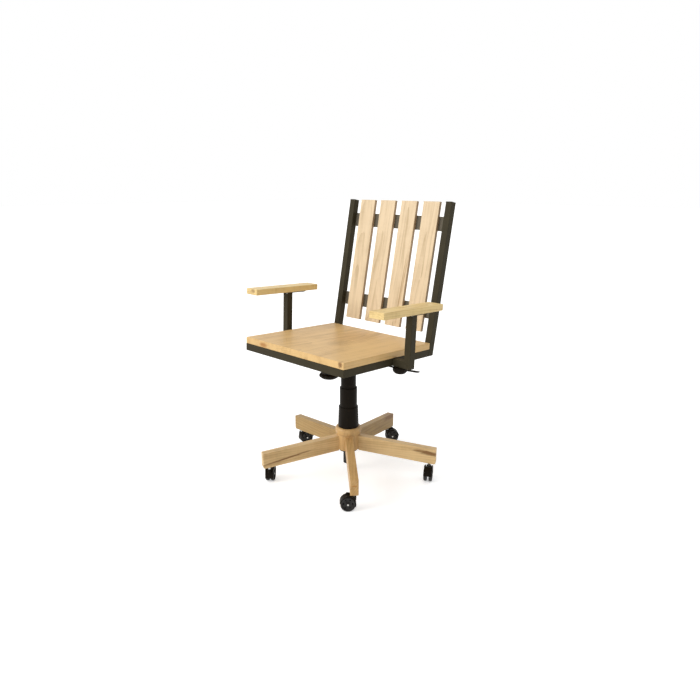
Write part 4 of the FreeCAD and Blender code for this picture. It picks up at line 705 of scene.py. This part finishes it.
TENSION_AHEAD = 0.098
TENSION_KNOB = 0.035
SPRING_TOP = -0.018
SPRING_LENGTH = 0.048
knob_top = SPRING_TOP - SPRING_LENGTH
tension_foot = knob_top - 0.020
hole_floor = tension_foot + 0.0024
THREAD_HOLE = 0.00505
tension_profile = [(0.0, tension_foot), (TENSION_KNOB - 0.012, tension_foot),
                   (TENSION_KNOB, tension_foot + 0.008), (TENSION_KNOB, knob_top - 0.005),
                   (TENSION_KNOB - 0.005, knob_top), (THREAD_HOLE, knob_top), (THREAD_HOLE, hole_floor),
                   (0.0, hole_floor)]
tension_rounding = np.array([0, 0.004, 0.005, 0.003, 0.004, 0.0002, 0.0002, 0])
TENSION = SEAT @ Matrix.Translation((0, -TENSION_AHEAD, 0))
knob("tension_knob_moulding", tension_profile, TENSION_KNOB, tension_rounding, TENSION, "tension_knob",
     "tension_knob")

# %% [markdown]
# ## Tilt spring
# The coil that returns the seat is wound from round wire, with its end turns closed up and ground flat. It
# is a circle carried along a helix. When the seat tilts, the knob comes up and the coil gets shorter; the
# piece is given a mesh of its own.


# %% Coil spring
def carried(path, radius, sides=12, axis=(0, 0, 1)):
    """A circle carried along a path; the side vectors come from the path's direction and a fixed axis."""
    forward = np.gradient(path, axis=0)
    forward /= np.linalg.norm(forward, axis=1)[:, None]
    side = np.cross(forward, np.array(axis, float))
    side /= np.linalg.norm(side, axis=1)[:, None]
    up = np.cross(side, forward)
    angle = np.linspace(0, 2*pi, sides, endpoint=False)[None, :, None]
    radius = np.broadcast_to(radius, len(path))[:, None, None]
    return path[:, None] + radius*(np.cos(angle)*side[:, None] + np.sin(angle)*up[:, None])


WIRE = 0.0024
COIL = 0.015
COIL_TURNS = 4.0
COIL_PLAY = 0.0003            # at each end of the coil
turns_made = np.linspace(0, COIL_TURNS, 240)
closing = np.clip(np.minimum(turns_made, COIL_TURNS - turns_made)/0.6, 0, 1)
climb = np.cumsum(closing**1.5 + 0.10)
climb = (climb - climb[0])/(climb[-1] - climb[0])
coil_path = np.stack((COIL*np.cos(2*pi*turns_made), COIL*np.sin(2*pi*turns_made),
                      knob_top + WIRE + COIL_PLAY + climb*(SPRING_LENGTH - 2*WIRE - 2*COIL_PLAY)), axis=-1)
end_taper = np.sqrt(np.clip(np.minimum(turns_made, COIL_TURNS - turns_made)/0.012, 0, 1))
SPRING_STEEL = painted("spring_coat", 0.1, 0.5, Paint=(0.02, 0.02, 0.02, 1), Dust=(0.09, 0.085, 0.08, 1),
                       Gloss=0.3)
spring = piece("tilt_coil", [skin(carried(coil_path, WIRE*end_taper))], TENSION, SPRING_STEEL, "lift",
               ["tilt_spring"])
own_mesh(spring)

# %% [markdown]
# ## Height lever
# The lever is a round rod whose end is pressed flat and bent up a little for the fingers. Its cross-section
# is an ellipse that gets wide and thin along the way, so the change from round to flat is one smooth
# surface. A short cross pin near the column is what it rocks on.

# %% Height lever
LEVER_DROP = 0.0206
LEVER_START = -0.007
LEVER_TIP = 0.313
FLAT_FROM = 0.247
FLAT_FULL = 0.266
ROD = 0.003
PADDLE_WIDE = 0.008
PADDLE_THIN = 0.00225
TIP_LENGTH = 0.006            # the rounded end of the paddle
LEVER_BEND = radians(4)
LEVER_SWEEP = radians(2)
PIN_PLACE = 0.028
PIN_RADIUS = 0.0016
PIN_HALF = 0.007
tip_from = LEVER_TIP - TIP_LENGTH
along = np.concatenate(([LEVER_START, LEVER_START + 0.0006], np.linspace(0.0, FLAT_FROM, 12),
                        np.linspace(FLAT_FROM + 0.002, tip_from, 40),
                        LEVER_TIP - TIP_LENGTH*(1 - np.sin(np.linspace(0.1, pi/2, 10)))))
flat = np.clip((along - FLAT_FROM)/(FLAT_FULL - FLAT_FROM), 0, 1)
flat = flat*flat*(3 - 2*flat)
nose = np.sqrt(np.clip(1 - np.clip((along - tip_from)/TIP_LENGTH, 0, 1)**2, 0, 1))
start = np.where(along > LEVER_START + 0.0005, 1.0, 0.86)
half_wide = (ROD + (PADDLE_WIDE - ROD)*flat)*np.where(flat > 0, 0.35 + 0.65*nose, 1.0)*start
half_thick = (ROD + (PADDLE_THIN - ROD)*flat)*np.where(nose < 0.999, 0.4 + 0.6*nose, 1.0)*start
phase = np.linspace(0, 2*pi, 28, endpoint=False)
power = (1 - 0.35*flat)[:, None]
section = np.stack((np.sign(np.cos(phase))*np.abs(np.cos(phase))**power*half_wide[:, None],
                    np.sign(np.sin(phase))*np.abs(np.sin(phase))**power*half_thick[:, None]), axis=-1)
section[..., 1] += tan(LEVER_BEND)*np.clip(along - FLAT_FROM - 0.006, 0, 1)[:, None]
stations = np.broadcast_to(along[:, None, None], section.shape[:2] + (1,))
lever_grid = np.concatenate((stations, section), axis=-1)
caps = [np.broadcast_to(lever_grid[end].mean(0), lever_grid[end].shape)[None] for end in (0, -1)]
lever_grid = np.concatenate((caps[0], lever_grid, caps[1]))
pin_profile = [(0, -PIN_HALF), (PIN_RADIUS, -PIN_HALF), (PIN_RADIUS, PIN_HALF), (0, PIN_HALF)]
pin_points, pin_faces = turned(rounded(pin_profile, np.array([0, 0.0004, 0.0004, 0])), 24)
pin_points = pin_points[:, [0, 2, 1]] + (PIN_PLACE, 0, 0)
lever_root = Matrix.Translation((0, LEVER_DROP*tan(SEAT_RAKE), -LEVER_DROP))
LEVER = SEAT @ lever_root @ Matrix.Rotation(LEVER_SWEEP, 4, "Z")
piece("lever_forging", [skin(lever_grid), (pin_points, pin_faces)], LEVER, BLACK_STEEL, "lever",
      ["height_lever"], sharp=50)

# %% [markdown]
# ## Screws and bolts
# The slats are held from behind by pan-head screws, the seat and the arm pads from below. Each head is a
# dome with a cross recess: its height is lowered along two crossing grooves near the middle.


# %% Screw heads
def pan_head(radius, height, rings=9, sides=24):
    """A dome over the disc z = 0, lowered near its middle along two crossing grooves."""
    r = np.concatenate(([1.0], np.sin(np.linspace(pi/2, 0, rings))))[:, None]
    angle = np.linspace(0, 2*pi, sides, endpoint=False)[None, :]
    z = height*np.sqrt(np.clip(1 - 0.8*r**2, 0, 1))*np.ones_like(angle)
    z[0] = 0
    x, y = r*np.cos(angle), r*np.sin(angle)
    groove = np.minimum(np.abs(x), np.abs(y)) < 0.17
    deep = groove & (r < 0.62)
    z = z - 0.55*height*deep
    return skin(np.stack((x*radius, y*radius, z), axis=-1))


def shank(radius, length, sides=12):
    """A screw's shank, below z = 0, that ends in a point."""
    profile = np.array([(0.0, 0.0), (radius, 0.0), (radius, -length + 2*radius), (0.0, -length)])
    return turned(profile, sides)


def screws(name, sets, body, node):
    """Wood screws as one piece: each set is a list of frames, z out of the head, and a shank's length."""
    skins = []
    for places, length in sets:
        for place in places:
            matrix = np.array(place)
            for points, faces in (pan_head(HEAD_RADIUS, HEAD_HEIGHT), shank(SHANK_RADIUS, length)):
                skins.append((points @ matrix[:3, :3].T + matrix[:3, 3], faces))
    piece(name, skins, Matrix.Identity(4), ZINC, body, [node], sharp=30)


HEAD_RADIUS = 0.0042
HEAD_HEIGHT = 0.0024
SHANK_RADIUS = 0.002
SEAT_SCREW_ROWS = (-0.208, -0.0769, 0.1042)
BAR_LEVELS = (0.470, 0.157)
BAR_DEPTH = 0.00635
PLATE_THICKNESS = 0.004
PLATE_FRONT = -0.058
PLATE_LENGTH = 0.098
seat_screws = [SEAT @ Matrix.Translation((sign*(SEAT_HALF - TUBE/2), y, 0)) @ Matrix.Rotation(pi, 4, "X")
               for sign in (1, -1) for y in SEAT_SCREW_ROWS]
slat_screws = [BACK @ Matrix.Translation(((slat - 1.5)*SLAT_PITCH + offset, TUBE, height))
               @ Matrix.Rotation(-pi/2, 4, "X") @ Matrix.Rotation(0.7*slat + 2*height, 4, "Z")
               for slat in range(4) for offset in (-SLAT_WIDTH/4, SLAT_WIDTH/4) for height in BAR_LEVELS]
screws("seat_and_slat_screws", [(seat_screws, TUBE + 0.012), (slat_screws, BAR_DEPTH + 0.009)], "seat",
       "wood_screws")

plate_foot = ARM_PLATE_TOP - PLATE_THICKNESS
plate_middle = PLATE_FRONT + PLATE_LENGTH/2
for side, sign in (("left", 1), ("right", -1)):
    places = [SEAT @ Matrix.Translation((sign*ARM_SPREAD + across, plate_middle + y, plate_foot))
              @ Matrix.Rotation(pi, 4, "X") for across in (-0.0155, 0.0155) for y in (-0.041, 0.041)]
    screws(f"pad_screws_{side}", [(places, 0.016)], f"arm_{side}", f"arm_screws_{side}")

# %% [markdown]
# ## Casters
# Each caster has two wheels on one axle under a moulded hood, on a plated stem. These pieces and the seat
# plate's bolts keep the CAD's shape: their meshes are copied, merged and given a small bevel, so that their
# edges catch the light.


# %% Softened copies of CAD nodes
def softened(node, name, material, body, width, angle=30):
    """A merged copy of a CAD node with its edges bevelled and its flat faces kept flat in shading."""
    mesh = frame["nodes"][node].data.copy()
    mesh.name = name
    mesh.materials.clear()
    work = bmesh.new()
    work.from_mesh(mesh)
    bmesh.ops.remove_doubles(work, verts=work.verts, dist=1e-6)
    bmesh.ops.dissolve_limit(work, angle_limit=radians(1), verts=work.verts, edges=work.edges)
    work.to_mesh(mesh)
    work.free()
    made = show(name, mesh, material, body, [node], angle)
    edge = made.modifiers.new("bevel", "BEVEL")
    edge.width = width
    edge.segments = 2
    edge.limit_method = "ANGLE"
    edge.angle_limit = radians(angle)
    edge.harden_normals = True
    return made


for k in LEGS:
    softened(f"caster_hood_{k}", f"hood_moulding_{k}", PLASTIC, f"caster_{k}", 0.0004)
    softened(f"caster_wheels_{k}", f"wheel_pair_{k}", TREAD, f"wheels_{k}", 0.0003)
    softened(f"caster_stem_axle_{k}", f"stem_and_axle_{k}", ZINC, f"caster_{k}", 0.0003)
softened("plate_bolts", "plate_hex_bolts", ZINC, "seat", 0.0004)

# %% [markdown]
# ## Welds
# The posts, crossbars and arms are welded. A weld bead is a row of overlapping ripples, so it is a small
# round bar along the joint whose radius swells and shrinks.


# %% Weld beads
def bead(start, end, radius=0.0016, ripple=0.0011):
    """A rippled bead between two points, closed at both ends."""
    start, end = np.array(start, float), np.array(end, float)
    length = np.linalg.norm(end - start)
    count = max(12, int(length/ripple*4))
    t = np.linspace(0, 1, count)
    path = start + t[:, None]*(end - start)
    swell = radius*(1 + 0.14*np.abs(np.sin(pi*t*length/ripple)))
    swell = swell*np.sqrt(np.clip(np.minimum(t, 1 - t)*length/radius, 0, 1))
    axis = (0, 0, 1) if abs((end - start)[2]) < 0.7*length else (0, 1, 0)
    return skin(carried(path, swell, 8, axis))


POST_INNER = SEAT_HALF - TUBE
BAR_HALF = 0.0254
beads = []
for level in BAR_LEVELS:
    for sign in (-1, 1):
        x = sign*POST_INNER
        for y in (TUBE - BAR_DEPTH, TUBE - 0.0003):
            beads.append(bead((x, y, level - BAR_HALF), (x, y, level + BAR_HALF)))
for sign in (-1, 1):
    for x in (sign*POST_INNER, sign*(SEAT_HALF - 0.0004)):
        beads.append(bead((x, -0.0003, 0.003), (x, -0.0003, TUBE - 0.001), 0.0013))
piece("back_welds", beads, BACK, BRONZE, "seat")

# %% Welds of the arms
for side, sign in (("left", 1), ("right", -1)):
    inner, outer = sign*(ARM_SPREAD - TUBE/2), sign*(ARM_SPREAD + TUBE/2)
    front, rear = -ARM_AHEAD - TUBE/2, -ARM_AHEAD + TUBE/2
    beads = [bead((inner, y, TUBE), (outer, y, 0), 0.0008) for y in (front, rear)]
    beads += [bead((inner, y, plate_foot), (outer, y, plate_foot), 0.0012) for y in (front, rear)]
    beads += [bead((x, front, plate_foot), (x, rear, plate_foot), 0.0012) for x in (inner, outer)]
    piece(f"arm_welds_{side}", beads, SEAT, BRONZE, f"arm_{side}")

# %% [markdown]
# ## Stage and light
# The photograph is a cut-out on white. The floor is pale and gets a little help towards white where only
# the camera sees it, so it still holds the chair's shadow. The sky is white to the camera and in
# reflections. The light it gives is a studio's: bright from the front left and above, dimmer from behind
# and from the right.

# %% Floor
floor_mesh = bpy.data.meshes.new("studio_floor")
FLOOR_HALF = 30.0
floor_corners = [(x*FLOOR_HALF, y*FLOOR_HALF, 0) for x, y in ((-1, -1), (1, -1), (1, 1), (-1, 1))]
floor_mesh.from_pydata(floor_corners, [], [(0, 1, 2, 3)])
floor = bpy.data.objects.new("studio_floor", floor_mesh)
bpy.context.scene.collection.objects.link(floor)
floor_paint, w, shader = finish_of("studio_white")
shader.inputs["Base Color"].default_value = (0.9, 0.9, 0.9, 1)
shader.inputs["Roughness"].default_value = 0.9
shader.inputs["Specular IOR Level"].default_value = 0.1


def seen_white(w):
    """1 for what the camera sees directly, in a reflection or through something clear, and 0 for light."""
    path = w.node("ShaderNodeLightPath").outputs
    return w.math("MAXIMUM", path["Is Camera Ray"], w.math("MAXIMUM", path["Is Glossy Ray"],
                                                           path["Is Transmission Ray"]))


FLOOR_HELP = 0.42
help_white = w.math("MULTIPLY", seen_white(w), FLOOR_HELP)
glow = w.node("ShaderNodeEmission", {"Color": (1, 1, 1, 1), "Strength": help_white})
both = w.node("ShaderNodeAddShader", {0: shader.outputs[0], 1: glow.outputs[0]})
w.feed(floor_paint.node_tree.nodes["Material Output"].inputs["Surface"], both.outputs[0])
floor_mesh.materials.append(floor_paint)

# %% World and lamp
world = bpy.data.worlds.new("studio")
bpy.context.scene.world = world
world.use_nodes = True
w = Wiring(world.node_tree)
background = world.node_tree.nodes["Background"]
direction = w.node("ShaderNodeTexCoord").outputs["Generated"]
SKY_SIDE = Vector((-0.45, -0.45, 0.77)).normalized()
facing = w.node("ShaderNodeVectorMath", {0: direction, 1: tuple(SKY_SIDE)}, operation="DOT_PRODUCT")
studio = w.rise(facing.outputs["Value"], -0.7, 0.9, 0.30, 1.0)
w.feed(background.inputs["Color"], w.mix(seen_white(w), w.join(studio, studio, studio), (1, 1, 1, 1)))

sun_data = bpy.data.lights.new("soft_key", "SUN")
sun_data.energy = 1.3
sun_data.angle = radians(30)
sun_data.color = (1.0, 0.985, 0.96)
sun = bpy.data.objects.new("soft_key", sun_data)
bpy.context.scene.collection.objects.link(sun)
KEY_SIDE = Vector((-0.42, -0.80, 0.46)).normalized()
sun.matrix_world = Matrix.Translation(KEY_SIDE*4) @ KEY_SIDE.to_track_quat("Z", "Y").to_matrix().to_4x4()
bpy.context.scene.view_settings.view_transform = "Standard"
